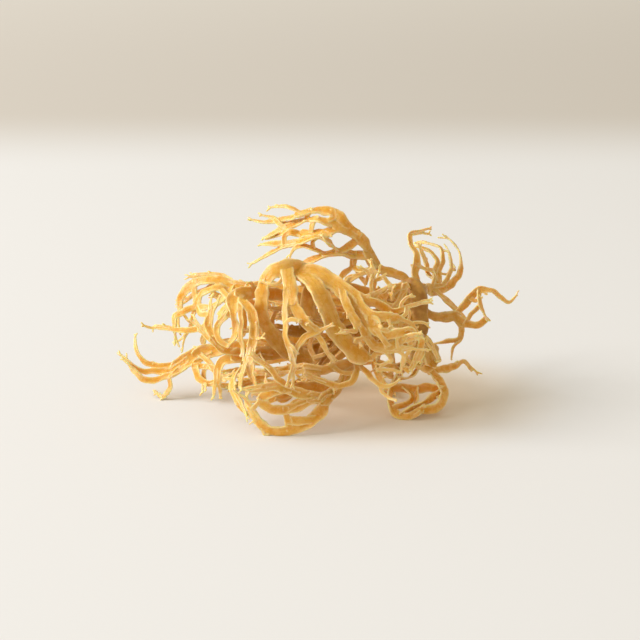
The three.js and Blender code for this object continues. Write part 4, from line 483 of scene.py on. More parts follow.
# Straps, in millimetres. A strap's thickness is STRAP_THIN plus STRAP_THICKER times the width, and at
# most ROUNDEST times the width. MIDDLE_SHARES is how thick its middle is beside that, by width, and
# RIM_THICK how thick its rims are. RIM_NARROW and RIM_TONE are how close to the edge the rims and their
# tone keep, and SECTION_SQUARE how square the section is across and up.
STRAP_STEP = 0.4
LEAST_ROWS = 5
SECTION_POINTS = 16
NARROWEST = 0.36
ROUNDEST = 0.85
STRAP_THIN = 0.3
STRAP_THICKER = 0.06
MIDDLE_WIDTHS = [0.8, 2.4]
MIDDLE_SHARES = [1.1, 0.65]
SECTION_SQUARE = [0.75, 0.35]
RIM_THICK = 2.1
RIM_NARROW = 5
RIM_TONE = 4
FINE_WIDTHS = [0.6, 1.6]

# Where straps are brown: within about ROOT_LENGTH of the stipe along the frond. Round the place
# SHADED_HEART inside the tuft they are darkened with painted shade, by the share HEART_SHADE, where the
# inner straps lie in shade.
ROOT_LENGTH = 12.0
SHADED_HEART = [0.0, -5.0, -6.0]
HEART_RADIUS = 14.0
HEART_SHADE = 1.0

# How uneven straps are: shares of the width, wave lengths, and how quickly the trough turns over.
WIDTH_WAVER = 0.07
WAVER_LENGTHS = np.array([3.1, 5.3, 8.7])
WAVE_HEIGHT = 1.5
PATH_WAVER = 0.12
TROUGH = 0.11
TROUGH_WAVE = np.array([0.13, 0.17, 0.11])
RUFFLE = 0.06
RUFFLE_LENGTHS = np.array([3.7, 6.1])

# Straps in front, less than CLEAN_ACROSS to the right and less than CLEAN_AWAY off, are clean. So are
# those further out than CLEAN_UP, up or down, or CLEAN_SIDES, left or right. No struts link them, and
# few shoots stand on them.
CLEAN_ACROSS = 8.0
CLEAN_AWAY = -8.0
CLEAN_UP = 12.5
CLEAN_SIDES = 22.0

# Small shoots off a strap's edges, and the prongs of free ends. In brackets are the least and the most.
SHOOT_PARTS = 5
SHOOT_GAPS = (4.5, 11.0)
CLEAN_GAPS = (7.0, 20.0)
SHOOT_CLEAR = 1.0
SHOOTS_FROM = 9.0
SHOOT_SUNK = 0.25
SHOOT_LEAN = (0.6, 1.2)
SHOOT_OUT = (-0.4, 0.4)
TWIGS_OFTEN = 0.5
CLEAN_TWIGS_OFTEN = 0.2
TWIG_LENGTH = (2.4, 5.5)
TWIG_WIDTH = (0.75, 1.1)
TWIG_END = 0.6
TWIG_TURN = (1.0, 2.7)
TWIG_CURL = (-1.0, 1.0)
TOOTH_LENGTH = (0.7, 1.5)
TOOTH_WIDTH = (0.55, 0.8)
TOOTH_TURN = -0.6
TWO_PRONGS = 0.7
PRONG_WAYS = [[-1, 1], [-1, 0.1, 1]]
PRONG_ROOT = 0.75
PRONG_TURN = -0.5
PRONG_LEAN = (0.35, 0.75)
PRONG_LENGTH = (0.7, 1.8)
PRONG_CURL = (-0.7, 0.7)

# Struts: short links between straps of a frond that lie side by side, as where shoots have met and
# grown together. STRUT_SLANT is the most that one runs along the straps, as a cosine.
STRUTS = 16
STRUT_LENGTH = (2.4, 5.5)
STRUT_WIDTH = (0.8, 1.5)
STRUT_SLANT = 0.65
STRUT_APART = 2.6
STRUT_SUNK = 0.3
STRUT_BOW = (-0.7, 0.7)

# How the skins of a frond are fused and finished, in millimetres.
# The root tone is brown near the stipe, and also painted shade round the tuft's heart.
TONES = ["rim", "fine", "root", "aside", "along"]
VOXEL = 0.145
EASING = [0.5, -0.52] * 3
TRIANGLES_KEPT = 0.42
RIPPLES = 24
RIPPLE_LENGTHS = (0.8, 3.0)
RIPPLE = 0.015

# Where the fronds carry a whitish crust, partly a painted sheen, as [across, up, away, radius].
CRUSTS_AND_SHEEN = [
    [-6.3, -8.5, -21, 2.0],
    [-16, -8, -16.5, 2.4],
    [-19, -1, -14, 2.0],
]

# The stipe's skin. Its section is STIPE_WIDE by STIPE_FLAT radii.
STIPE_STEP = 0.25
STIPE_POINTS = 48
STIPE_RIDGE = 0.06
STIPE_RIDGES = 5
STIPE_WIDE = 1.15
STIPE_FLAT = 0.95
STIPE_TURN = 3
STIPE_BLUNT = 6
STIPE_TIP = 0.02

# Colours, as linear red, green and blue.
GOLD = (0.91, 0.55, 0.10)
AMBER = (0.78, 0.38, 0.03)
HONEY = (0.94, 0.67, 0.21)
STRAW = (1.0, 0.84, 0.45)
BROWN_AND_SHADE = (0.41, 0.17, 0.01)
CRUST_AND_SHEEN_WHITE = (0.90, 0.84, 0.70)
STIPE_DARK = (0.42, 0.19, 0.03)
STIPE_LIGHT = (0.62, 0.34, 0.07)

# The skins. Sizes are of features, in millimetres, and a detail is a noise's count of finer layers. A
# spread is the part of a noise that is drawn out to the whole range. Shares are the most of a colour.
NOISE_DETAIL = 3.0
FINE_DETAIL = 4.0
NOISE_ROUGHNESS = 0.55
CLOUD_SIZE = 9.0
CLOUD_SPREAD = (0.35, 0.65)
MOTTLE_SIZE = 1.6
MOTTLE_SPREAD = (0.35, 0.7)
CRUST_AND_SHEEN_SIZE = 1.4
CRUST_AND_SHEEN_SPREAD = (0.3, 0.7)
WRINKLE_SIZE = 0.9
WRINKLE_HEIGHT = 0.10
GRAIN_SIZE = 0.22
GRAIN_HEIGHT = 0.03
STREAK_WIDTH = 0.5
STREAK_LENGTH = 5.0
STREAK_DETAIL = 2.0
STREAK_SPREAD = (0.35, 0.65)
STREAK_SHARE = 0.6
STREAK_HEIGHT = 0.07
HONEY_SHARE = 0.5
RIM_SHARE = 0.9
FINE_SHARE = 0.4
ROOT_AND_SHADE_SHARE = 0.85
CRUST_AND_SHEEN_SHARE = 0.6
ROUGHNESS = (0.22, 0.40)
SPECULAR = 0.3
BUMP = 0.7
STIPE_MOTTLE = 2.2
STIPE_WRINKLES = 0.15
STIPE_ROUGHNESS = 0.45
SCATTER = 0.45
SCATTER_RADIUS = (1.0, 0.7, 0.3)

# The floor, in metres, and the ranges in which it fades behind the tuft, and again far behind.
FLOOR_HALF = 3.0
FLOOR_FROM = -1.5
FLOOR_TO = 4.0
FADE = (0.30, 0.46)
FLOOR_TONE = (0.805, 0.79, 0.78)
FLOOR_ROUGHNESS = 0.9
FLOOR_SPECULAR = 0.1
BACKDROP_TONE = (0.64, 0.59, 0.53)
FAR_FADE = (0.40, 1.6)
FAR_TONE = (0.88, 0.84, 0.79)

# Painted light: a pool of golden light painted into the floor round the place GLOW_AT, for the light that
# the tuft lets through onto it, and the range in which it fades, in metres.
GLOW_AT = (0.016, 0.006, 0.0)
GLOW = (0.01, 0.048)
PAINTED_GLOW_TONE = (0.84, 0.72, 0.57)

# The lamp, in metres and watts, and the sky.
LAMP_SIZE = 1.45
LAMP_POWER = 40.5
LAMP_AT = Vector((-1.65, -0.11, 1.16))
LAMP_TONE = (0.98, 1.01, 1.06)
SKY_TONE = (1.0, 0.93, 0.77)
SKY_STRENGTH = 0.58

# What the eye sees across at the tuft, and its film, in millimetres.
VIEW_WIDTH = 147.2
FILM_WIDTH = 36.0


class Frond:
    """A frond: its stations, the way that its flat side looks, and its own draws."""

    def __init__(self, number, name, face):
        self.name = name
        self.face = np.array(face, float)
        self.phase = TWIST_STEP * number
        self.seed = FIRST_SEED + number * SEED_STEP
        self.stations = []

    def draw(self, least, more):
        self.seed = (MULTIPLIER * self.seed + INCREMENT) % MODULUS
        return least + more * self.seed / MODULUS


class Station:
    """A place on a blade, with its width there. Only a frond's first one has no parent."""

    def __init__(self, frond, at, width, parent=None):
        self.frond = frond
        self.at = at
        self.width = width
        self.parent = parent
        self.children = []
        self.links = []
        self.met = None
        self.closes_loop = False
        frond.stations.append(self)

    def has_own_root(self):
        """Whether a blade starts here that is sunk into its parent's and doesn't share its width."""
        if self.closes_loop:
            return True
        if self.parent.parent is None:
            return False
        return float(towards(self.parent.parent, self.parent) @ towards(self.parent, self)) < SIDE_SHOOT


def unit(v):
    return v / np.linalg.norm(v)


def towards(a, b):
    return unit(b.at - a.at)


def turned(v, axis, angle):
    """The vector turned about a unit axis: what lies along the axis stays, and the rest turns."""
    kept = axis * (axis @ v) * (1 - math.cos(angle))
    return v * math.cos(angle) + np.cross(axis, v) * math.sin(angle) + kept


def level(v, run):
    """The unit vector nearest to v that is square to the unit vector run."""
    return unit(v - run * (v @ run))


def placed(at):
    """Turns a listed place into one in the tuft's own frame: things shift outwards as they are further
    away, as they do along lines of sight."""
    spread = 1 + at[2] / EYE_DISTANCE
    return LOOKED_AT + np.array([at[0] * spread, at[1] * spread, at[2]]) @ ROUTE_AXES


def away_limit(up):
    """How far away a place may be before it is lower than TABLE_CLEAR over the table."""
    height = LOOKED_AT[2] - TABLE_CLEAR + ROUTE_AXES[1, 2] * up
    return height / (-ROUTE_AXES[2, 2] - ROUTE_AXES[1, 2] * up / EYE_DISTANCE)


def up_limit(away):
    """How far down in the view a place may be, at its own distance, for the same reason."""
    drop = TABLE_CLEAR - LOOKED_AT[2] - ROUTE_AXES[2, 2] * away
    return drop / (ROUTE_AXES[1, 2] * (1 + away / EYE_DISTANCE))


def curve_places(points, t):
    """Places at t, from 0 to 1, on the smooth curve through the points: on each span a cubic whose
    slope at a point is half the step from the point before to the point after. Past its ends the
    list goes on mirrored. The points may have any number of columns."""
    listed = np.vstack([2 * points[0] - points[1], points, 2 * points[-1] - points[-2]])
    spans = len(points) - 1
    span = np.minimum((t * spans).astype(int), spans - 1)
    w = (t * spans - span)[:, None]
    before, start, end, after = (listed[span + i] for i in range(4))
    leaves = (end - before) / 2
    arrives = (after - start) / 2
    square = 3 * (end - start) - 2 * leaves - arrives
    cube = 2 * (start - end) + leaves + arrives
    return start + leaves * w + square * w ** 2 + cube * w ** 3


def even_line(points, step, least):
    """Rows about a step apart along the smooth curve through the points, whose first three columns
    are places."""
    t = np.linspace(0, 1, ARC_PARTS + 1)
    steps = np.linalg.norm(np.diff(curve_places(points, t)[:, :3], axis=0), axis=1)
    lengths = np.concatenate([[0], np.cumsum(steps)])
    count = max(least, round(lengths[-1] / step))
    even = np.interp(np.linspace(0, lengths[-1], count + 1), lengths, t)
    return curve_places(points, even)


def grow(frond, start, line, root_width, end_width):
    """Carries a frond on from a station along a line, and gives the last new station."""
    parent = start
    for i, at in enumerate(line[1:], 1):
        width = root_width + (end_width - root_width) * i / (len(line) - 1)
        station = Station(frond, at, width, parent)
        link(parent, station)
        parent.children.append(station)
        parent = station
    return parent


def link(a, b):
    a.links.append(b)
    b.links.append(a)


def nearest_station(frond, place):
    distances = [np.linalg.norm(station.at - place) for station in frond.stations]
    return frond.stations[int(np.argmin(distances))]


def flat_side(frond, place, run):
    """The unit normal of a blade's flat side: the frond's own face and the way out from the tuft's
    heart, with a slow twist."""
    twist = TWIST * math.sin(TWIST_WAVE @ place + frond.phase)
    side = OUTWARDS * unit(place - HEART) + frond.face
    return turned(level(side, run), run, twist)


def tine(frond, start, run, turn, length):
    """Places along a tine that leaves a fork by an angle, bends back in line with it, and curls."""
    curl = frond.draw(*TINE_CURL)
    side = flat_side(frond, start, run)
    heading = turned(run, side, turn)
    line = [start]
    for _ in range(TINE_PARTS):
        hinge = unit(np.cross(side, heading))
        heading = turned(turned(heading, side, -TINE_BENDS_BACK * turn / TINE_PARTS), hinge, curl)
        place = line[-1] + heading * length / TINE_PARTS
        place[1] = max(place[1], up_limit(place[2]))
        line.append(place)
    return line


def fork_end(end, times):
    """Forks a free end in two, and so on to the tips."""
    if not times or end.width < TIP_WIDTH:
        end.width = min(end.width, TIP_END)
        return
    frond = end.frond
    run = towards(end.parent, end)
    last_width = TIP_END if times == 1 else TINE_NARROWS * end.width
    for hand in (-1, 1):
        turn = hand * frond.draw(*TINE_TURN)
        length = end.width * frond.draw(*TINE_LENGTH)
        line = tine(frond, end.at, run, turn, length)
        fork_end(grow(frond, end, line, TINE_ROOT * end.width, last_width), times - 1)


def grow_frond(number, name, face, blades, forks=1):
    """A frond from its listed blades. A blade that ends near an earlier station lies on it and closes
    a loop. Every other end forks."""
    frond = Frond(number, name, face)
    ends = []
    for root_width, end_width, *places in blades:
        points = np.array(places, float)
        if not frond.stations:
            Station(frond, points[0], root_width)
        start = nearest_station(frond, points[0])
        points[0] = start.at
        met = nearest_station(frond, points[-1])
        end = grow(frond, start, even_line(points, STATION_STEP, LEAST_STATIONS), root_width, end_width)
        if np.linalg.norm(met.at - end.at) < MEETS:
            link(end, met)
            end.met = met
            start.children[-1].closes_loop = True
        ends.append(end)
    for end in [end for end in ends if not end.children and not end.met]:
        fork_end(end, forks)
    return frond


def close_pairs(at, girth, links):
    """The pairs of stations that are too close side by side, and the distance along the sight that
    each needs. Stations within KIN_STEPS of each other along a frond are left out."""
    count = len(at)
    kin = np.eye(count, dtype=np.float32)
    kin[links[:, 0], links[:, 1]] = 1
    for _ in range(int(math.log2(KIN_STEPS))):
        kin = (kin @ kin > 0).astype(np.float32)
    reach = girth[:, None] + girth[None, :] + CLEAR_GAP
    aside = np.linalg.norm(at[:, None, :2] - at[None, :, :2], axis=2)
    first, second = np.nonzero(np.triu((aside < reach) & (kin == 0), 1))
    need = np.sqrt(reach[first, second] ** 2 - aside[first, second] ** 2)
    return first, second, need


def lean_clear(stations):
    """Stations that are too close lean apart along the line of sight. Each takes part in the moves of
    those linked to it, so that a blade bends and doesn't kink, and none goes under the table."""
    number = {id(station): i for i, station in enumerate(stations)}
    at = np.array([station.at for station in stations])
    girth = np.array([GIRTH * station.width + 0.5 * THIN for station in stations])
    root = np.array([station.parent is None for station in stations])
    links = np.array([(number[id(s)], number[id(other)]) for s in stations for other in s.links])
    links_each = np.bincount(links[:, 0], minlength=len(at))
    limit = np.array([away_limit(up) for up in at[:, 1]]) - at[:, 2]
    first, second, need = close_pairs(at, girth, links)
    free = ~root[first] & ~root[second]
    first, second, need = first[free], second[free], need[free]
    shift = np.zeros(len(at))
    for turn in range(CLEAR_ROUNDS):
        depth = at[second, 2] + shift[second] - at[first, 2] - shift[first]
        lack = np.maximum(need - np.abs(depth), 0) * np.where(depth < 0, -0.5, 0.5)
        push = np.bincount(second, lack, len(at)) - np.bincount(first, lack, len(at))
        mean = np.bincount(links[:, 0], shift[links[:, 1]], len(at)) / links_each
        moved = shift + np.clip(push, -MOST_PUSH, MOST_PUSH)
        smoothing = SMOOTHING[2 * turn // CLEAR_ROUNDS]
        shift = np.where(root, 0, np.minimum(moved + smoothing * (mean - moved), limit))
    for station, by in zip(stations, shift):
        station.at = station.at + [0, 0, by]
    for station in stations:
        if station.met:
            station.at = station.met.at.copy()


def lay_flat(stations):
    """Settles the way that each station's blade runs, and its flat side, which turns only a little
    from one station to the next."""
    for station in stations:
        runs = [towards(station.parent, station)] if station.parent else []
        onward = [child for child in station.children if not child.has_own_root()]
        if onward:
            runs.append(sum(towards(station, child) for child in onward) / len(onward))
        station.run = unit(sum(runs))
        station.side = flat_side(station.frond, station.at, station.run)
        if station.parent:
            same = math.copysign(1, station.side @ station.parent.side)
            station.side = level(same * station.side + station.parent.side, station.run)


def row(station):
    """A station as a row of its strap: its place, width, flat side and distance from the stipe."""
    return np.array([*station.at, station.width, *station.side, station.reach])


def measure_reach(stations):
    """Gives each station its distance from the stipe, along the frond."""
    for station in stations:
        parent = station.parent
        station.reach = parent.reach + np.linalg.norm(station.at - parent.at) if parent else 0.0


def share_rows(before, fork, onward):
    """How a fork's straps start: each from its own share across the strap before the fork, then from
    the same share at the fork. Gives the two rows for each, in the order of the stations onward."""
    shares = np.array([station.width for station in onward])
    shares = shares / shares.sum()
    middles = np.cumsum(shares) - 0.5 * shares - 0.5
    starts = []
    for station, share, middle in zip(onward, shares, middles):
        rows = []
        for near, own in ((before, 0.0), (fork, FORK_SWELL)):
            edge = np.cross(near.run, near.side)
            start = row(near)
            start[:3] += edge * middle * near.width
            start[3] = share * near.width + own * (station.width - share * near.width)
            rows.append(start)
        starts.append(rows)
    return starts


def sunk_row(station):
    """Where a shoot with a root of its own starts, inside the strap that it grows from."""
    run = towards(station.parent, station)
    start = row(station.parent)
    start[:3] -= SIDE_SUNK * station.parent.width * run
    start[3] = SHOOT_ROOT * station.width
    start[4:7] = level(station.side, run)
    return start


def web_row(fork):
    """The end of a strap that forks: a little past the fork, as a web between its branches."""
    end = row(fork)
    end[:3] += WEB * fork.width * fork.run
    end[3] *= WEB_WIDTH
    return end


def straps_of(frond):
    """The rows of each of a frond's straps, from where it leaves another to where it forks, meets or
    ends, and whether it ends free."""
    root = frond.stations[0]
    waiting = [([row(root)], child) for child in root.children]
    straps = []
    while waiting:
        rows, station = waiting.pop()
        onward = [station]
        while len(onward) == 1:
            station = onward[0]
            rows.append(row(station))
            onward = [child for child in station.children if not child.has_own_root()]
            waiting += [([sunk_row(child)], child) for child in station.children if child not in onward]
        if onward:
            edge = np.cross(station.run, station.side)
            onward.sort(key=lambda child: towards(station, child) @ edge)
            waiting += list(zip(share_rows(station.parent, station, onward), onward))
            rows.append(web_row(station))
        straps.append((np.array(rows), not onward and not station.met))
    return straps


def unit_rows(v):
    return v / np.linalg.norm(v, axis=-1, keepdims=True)


def strap_lines(rows):
    """A strap's even rows, with the unit vectors along it and across it at each."""
    line = even_line(rows, STRAP_STEP, LEAST_ROWS)
    line[:, 3] = np.maximum(line[:, 3], NARROWEST)
    run = unit_rows(np.gradient(line[:, :3], axis=0))
    side = line[:, 4:7]
    line[:, 4:7] = unit_rows(side - run * (side * run).sum(1)[:, None])
    return line, run, np.cross(run, line[:, 4:7])


def waves(along, lengths, rng):
    """A slow uneven wave between about -1 and 1: sines of several lengths, out of step."""
    phases = rng.uniform(0, 2 * math.pi, len(lengths))
    return np.sin(2 * math.pi * along[:, None] / lengths + phases).mean(1) * WAVE_HEIGHT


def section(width):
    """A strap's section at each width: places across it, from -1 to 1, and how far up they are, in half
    thicknesses. It is a squarish ring whose rims are thicker than its middle."""
    angle = 2 * math.pi * (np.arange(SECTION_POINTS) + 0.5) / SECTION_POINTS
    across, upward = (np.sign(f) * np.abs(f) ** power
                      for f, power in zip((np.cos(angle), np.sin(angle)), SECTION_SQUARE))
    middle = np.interp(width, MIDDLE_WIDTHS, MIDDLE_SHARES)[:, None]
    return across, upward * (middle + (RIM_THICK - middle) * np.abs(across) ** RIM_NARROW)


def rounded_end(along, width):
    """Shares of the width that round a strap's free end off, as a half circle does."""
    left = np.clip((along[-1] - along) / (0.5 * width), 0, 1)
    return np.sqrt(1 - (1 - left) ** 2)


def closed(skin, middles, values):
    """A tube's rings and their tones, closed at each end by one more ring, drawn in to its middle."""
    start, end = (np.broadcast_to(middles[i], skin[i].shape)[None] for i in (0, -1))
    return np.concatenate([start, skin, end]), np.concatenate([values[:1], values, values[-1:]])


def strap_skin(rows, free, rng):
    """A strap's skin, as a closed grid of places, and its tones there. The section is carried along the
    rows, bent into a slight trough with ruffled rims, and its width and way waver."""
    line, run, edge = strap_lines(rows)
    along = np.concatenate([[0], np.cumsum(np.linalg.norm(np.diff(line[:, :3], axis=0), axis=1))])
    width = line[:, 3] * (1 + WIDTH_WAVER * waves(along, WAVER_LENGTHS, rng))
    if free:
        width = width * rounded_end(along, width[-1])
    sway = PATH_WAVER * np.sin(math.pi * along / along[-1]) * waves(along, WAVER_LENGTHS, rng)
    place = line[:, :3] + edge * sway[:, None]
    thick = np.minimum(ROUNDEST * width, STRAP_THIN + STRAP_THICKER * width)

    across, upward = section(width)
    trough = TROUGH * np.sin(place @ TROUGH_WAVE)[:, None] * across ** 2
    ruffle = RUFFLE * waves(along, RUFFLE_LENGTHS, rng)[:, None] * across ** 3
    lift = 0.5 * thick[:, None] * upward + width[:, None] * (trough + ruffle)
    aside = 0.5 * width[:, None] * across
    skin = place[:, None] + edge[:, None] * aside[..., None] + line[:, None, 4:7] * lift[..., None]
    # Painted shade: straps darken round a place inside the tuft, where the inner straps lie in shade.
    # Near the stipe the brown is the frond's own.
    inside = np.linalg.norm(place - SHADED_HEART, axis=1) / HEART_RADIUS
    brown_and_shade = np.maximum(np.exp(-line[:, 7] / ROOT_LENGTH), HEART_SHADE * np.exp(-inside ** 2))
    tones = [np.abs(across) ** RIM_TONE,
             np.interp(width, FINE_WIDTHS, [1, 0])[:, None],
             brown_and_shade[:, None],
             aside,
             along[:, None]]
    values = np.stack([np.broadcast_to(tone, lift.shape) for tone in tones], -1)
    return closed(skin, place, values)


def shoot_rows(start, heading, length, width, end_width, turn, curl):
    """Rows of a small shoot from a row. It turns evenly within its flat side, curls out of it, and
    narrows."""
    side = level(start[4:7], heading)
    edge = np.cross(heading, side)
    t = np.linspace(0, 1, SHOOT_PARTS + 1)[:, None]
    headings = heading * np.cos(turn * t) * np.cos(curl * t)
    headings = headings + edge * np.sin(turn * t) + side * np.sin(curl * t)
    steps = headings * length / SHOOT_PARTS
    moves = np.cumsum(0.5 * (steps[1:] + steps[:-1]), axis=0)
    places = start[:3] + np.concatenate([[np.zeros(3)], moves])
    sides = side * np.cos(curl * t) - heading * np.sin(curl * t)
    widths = width + (end_width - width) * t
    reach = start[7] + length * t
    return np.concatenate([places, widths, sides, reach], axis=1)


def prongs(rows, rng):
    """The short prongs that a free end forks into."""
    line, run, edge = strap_lines(rows)
    start = line[-2]
    found = []
    for way in PRONG_WAYS[int(rng.random() > TWO_PRONGS)]:
        lean = way * rng.uniform(*PRONG_LEAN)
        heading = unit(run[-2] * math.cos(lean) + edge[-2] * math.sin(lean))
        width = max(start[3] * PRONG_ROOT, NARROWEST)
        found.append(shoot_rows(start, heading, rng.uniform(*PRONG_LENGTH), width, NARROWEST,
                                PRONG_TURN * lean, rng.uniform(*PRONG_CURL)))
    return found


def teeth_and_twigs(rows, gaps, often, rng):
    """Small shoots off a strap's two edges: most are short teeth, and some are twigs that fork."""
    line, run, edge = strap_lines(rows)
    length = len(line) * STRAP_STEP
    found = []
    at = rng.uniform(*gaps)
    while at < length - SHOOT_CLEAR:
        i = int(at / STRAP_STEP)
        at += rng.uniform(*gaps)
        start = line[min(i, len(line) - 1)].copy()
        if start[7] < SHOOTS_FROM:
            continue
        way = rng.choice([-1, 1])
        start[:3] += way * edge[i] * (0.5 * start[3] - SHOOT_SUNK)
        lean = way * rng.uniform(*SHOOT_LEAN)
        out = rng.uniform(*SHOOT_OUT)
        heading = unit(run[i] * math.cos(lean) + edge[i] * math.sin(lean) + start[4:7] * out)
        if rng.random() < often:
            twig = shoot_rows(start, heading, rng.uniform(*TWIG_LENGTH), rng.uniform(*TWIG_WIDTH),
                              TWIG_END, -way * rng.uniform(*TWIG_TURN), rng.uniform(*TWIG_CURL))
            found += [twig, *prongs(twig, rng)]
        else:
            found.append(shoot_rows(start, heading, rng.uniform(*TOOTH_LENGTH), rng.uniform(*TOOTH_WIDTH),
                                    NARROWEST, TOOTH_TURN * lean, rng.uniform(*PRONG_CURL)))
    return found


def kin_of(station):
    """The stations within KIN_STEPS of one, which are near it because they grow from it."""
    kin = {station}
    for _ in range(KIN_STEPS):
        kin |= {other for near in kin for other in near.links}
    return kin


def strut_pairs(frond, rng):
    """Pairs of a frond's stations that lie side by side on straps that aren't kin."""
    pairs = []
    for i, a in enumerate(frond.stations):
        kin = kin_of(a)
        for b in frond.stations[i + 1:]:
            apart = np.linalg.norm(b.at - a.at)
            slant = max(abs(towards(a, b) @ a.run), abs(towards(a, b) @ b.run)) if apart else 1
            if b not in kin and STRUT_LENGTH[0] < apart < STRUT_LENGTH[1] and slant < STRUT_SLANT:
                pairs.append((a, b))
    return [pairs[i] for i in rng.permutation(len(pairs))]


def is_clean(place):
    """Whether straps are clean at a place, given as [across, up, away]."""
    across, up, away = place
    outside = abs(up) > CLEAN_UP or abs(across) > CLEAN_SIDES
    return outside or across < CLEAN_ACROSS and away < CLEAN_AWAY


def struts(frond, rng):
    """Rows of the struts between a frond's straps, bowed a little, and kept apart from each other."""
    found = []
    for a, b in strut_pairs(frond, rng):
        start, end = row(a), row(b)
        middle = 0.5 * (start + end)
        near = any(np.linalg.norm(middle[:3] - other[1, :3]) < STRUT_APART for other in found)
        if near or is_clean(middle[:3]) or min(a.reach, b.reach) < SHOOTS_FROM or len(found) == STRUTS:
            continue
        way = towards(a, b)
        if start[4:7] @ end[4:7] < 0:
            end[4:7] *= -1
        middle[:3] += unit(a.run + b.run * np.sign(a.run @ b.run)) * rng.uniform(*STRUT_BOW)
        start[:3] += way * a.width * STRUT_SUNK
        end[:3] -= way * b.width * STRUT_SUNK
        rows = np.array([start, middle, end])
        rows[:, 3] = rng.uniform(*STRUT_WIDTH)
        rows[:, 4:7] = [level(side, way) for side in rows[:, 4:7]]
        found.append(rows)
    return found


def skins_of(frond, rng):
    """All the skins that a frond is fused from."""
    skins = [strap_skin(rows, False, rng) for rows in struts(frond, rng)]
    for rows, free in straps_of(frond):
        skins.append(strap_skin(rows, free, rng))
        clean = is_clean(rows[:, :3].mean(axis=0))
        gaps, often = (CLEAN_GAPS, CLEAN_TWIGS_OFTEN) if clean else (SHOOT_GAPS, TWIGS_OFTEN)
        shoots = teeth_and_twigs(rows, gaps, often, rng)
        if free:
            shoots += prongs(rows, rng)
        skins += [strap_skin(shoot, True, rng) for shoot in shoots]
    return skins


def placed_all(grid):
    """As placed, for a whole array of places, in metres."""
    spread = 1 + grid[..., 2:] / EYE_DISTANCE
    return (LOOKED_AT + np.concatenate([grid[..., :2] * spread, grid[..., 2:]], -1) @ ROUTE_AXES) * MM


def ring_faces(rings, points):
    """The quads between rings of points, each closed on itself."""
    here = np.arange(rings - 1)[:, None] * points + np.arange(points)
    beside = np.arange(rings - 1)[:, None] * points + (np.arange(points) + 1) % points
    return np.stack([here, beside, beside + points, here + points], -1).reshape(-1, 4)


def mesh_from(name, skins):
    """One mesh of many closed skins, with the tones at each point as attributes."""
    mesh = bpy.data.meshes.new(name)
    faces = []
    count = 0
    for grid, _ in skins:
        faces.append(ring_faces(*grid.shape[:2]) + count)
        count += grid.shape[0] * grid.shape[1]
    faces = np.concatenate(faces)
    places = placed_all(np.concatenate([grid.reshape(-1, 3) for grid, _ in skins]))
    values = np.concatenate([value.reshape(-1, len(TONES)) for _, value in skins])
    mesh.vertices.add(count)
    mesh.vertices.foreach_set("co", places.ravel())
    mesh.loops.add(faces.size)
    mesh.loops.foreach_set("vertex_index", faces.ravel())
    mesh.polygons.add(len(faces))
    mesh.polygons.foreach_set("loop_start", np.arange(0, faces.size, faces.shape[1]))
    mesh.update(calc_edges=True)
    for i, tone in enumerate(TONES):
        mesh.attributes.new(tone, "FLOAT", "POINT").data.foreach_set("value", values[:, i])
    return mesh


def read(collection, field, columns, kind=float):
    """A field of every item as an array."""
    found = np.empty(len(collection) * columns, kind)
    collection.foreach_get(field, found)
    return found.reshape(-1, columns)


def fuse(piece):
    """Makes the piece one skin, by voxels, and keeps its attributes."""
    bpy.context.view_layer.objects.active = piece
    piece.select_set(True)
    piece.data.remesh_voxel_size = VOXEL * MM
    piece.data.remesh_voxel_adaptivity = 0
    piece.data.use_remesh_preserve_attributes = True
    piece.data.use_remesh_preserve_volume = False
    bpy.ops.object.voxel_remesh()
    piece.select_set(False)


def ease(places, edges):
    """Smooths places, without shrinking them much: each goes a part of the way to the mean of its
    neighbours, then a little further back."""
    count = len(places)
    a, b = edges.T
    degree = np.bincount(edges.ravel(), minlength=count)[:, None]
    for amount in EASING:
        total = np.stack([np.bincount(a, places[b, k], count) + np.bincount(b, places[a, k], count)
                          for k in range(3)], 1)
        places = places + amount * (total / degree - places)
    return places


def ripple(places, rng):
    """Uneven ripples: the mean of sines along many directions, between about -1 and 1."""
    ways = unit_rows(rng.normal(size=(RIPPLES, 3)))
    ways = ways * 2 * math.pi / rng.uniform(*RIPPLE_LENGTHS, (RIPPLES, 1))
    phases = rng.uniform(0, 2 * math.pi, RIPPLES)
    return np.sin(places / MM @ ways.T + phases).sum(1) * math.sqrt(2 / RIPPLES)


def thin_out(piece):
    """Merges the triangles of a fused skin where it is flat."""
    modifier = piece.modifiers.new("thin_out", "DECIMATE")
    modifier.ratio = TRIANGLES_KEPT
    bpy.ops.object.modifier_apply(modifier=modifier.name)


def parts_of(count, edges):
    """A number for each vertex: the lowest index among all that hang together with it."""
    parts = np.arange(count)
    while True:
        lower = parts.copy()
        np.minimum.at(lower, edges[:, 0], parts[edges[:, 1]])
        np.minimum.at(lower, edges[:, 1], parts[edges[:, 0]])
        lower = lower[lower]
        if np.array_equal(lower, parts):
            return parts
        parts = lower


def drop_crumbs(piece):
    """Keeps only the largest part of a skin, because the voxels leave a few crumbs beside it."""
    mesh = piece.data
    parts = parts_of(len(mesh.vertices), read(mesh.edges, "vertices", 2, np.int32))
    crumbs = np.flatnonzero(parts != np.bincount(parts).argmax())
    skin = bmesh.new()
    skin.from_mesh(mesh)
    skin.verts.ensure_lookup_table()
    bmesh.ops.delete(skin, geom=[skin.verts[i] for i in crumbs], context="VERTS")
    skin.to_mesh(mesh)
    skin.free()


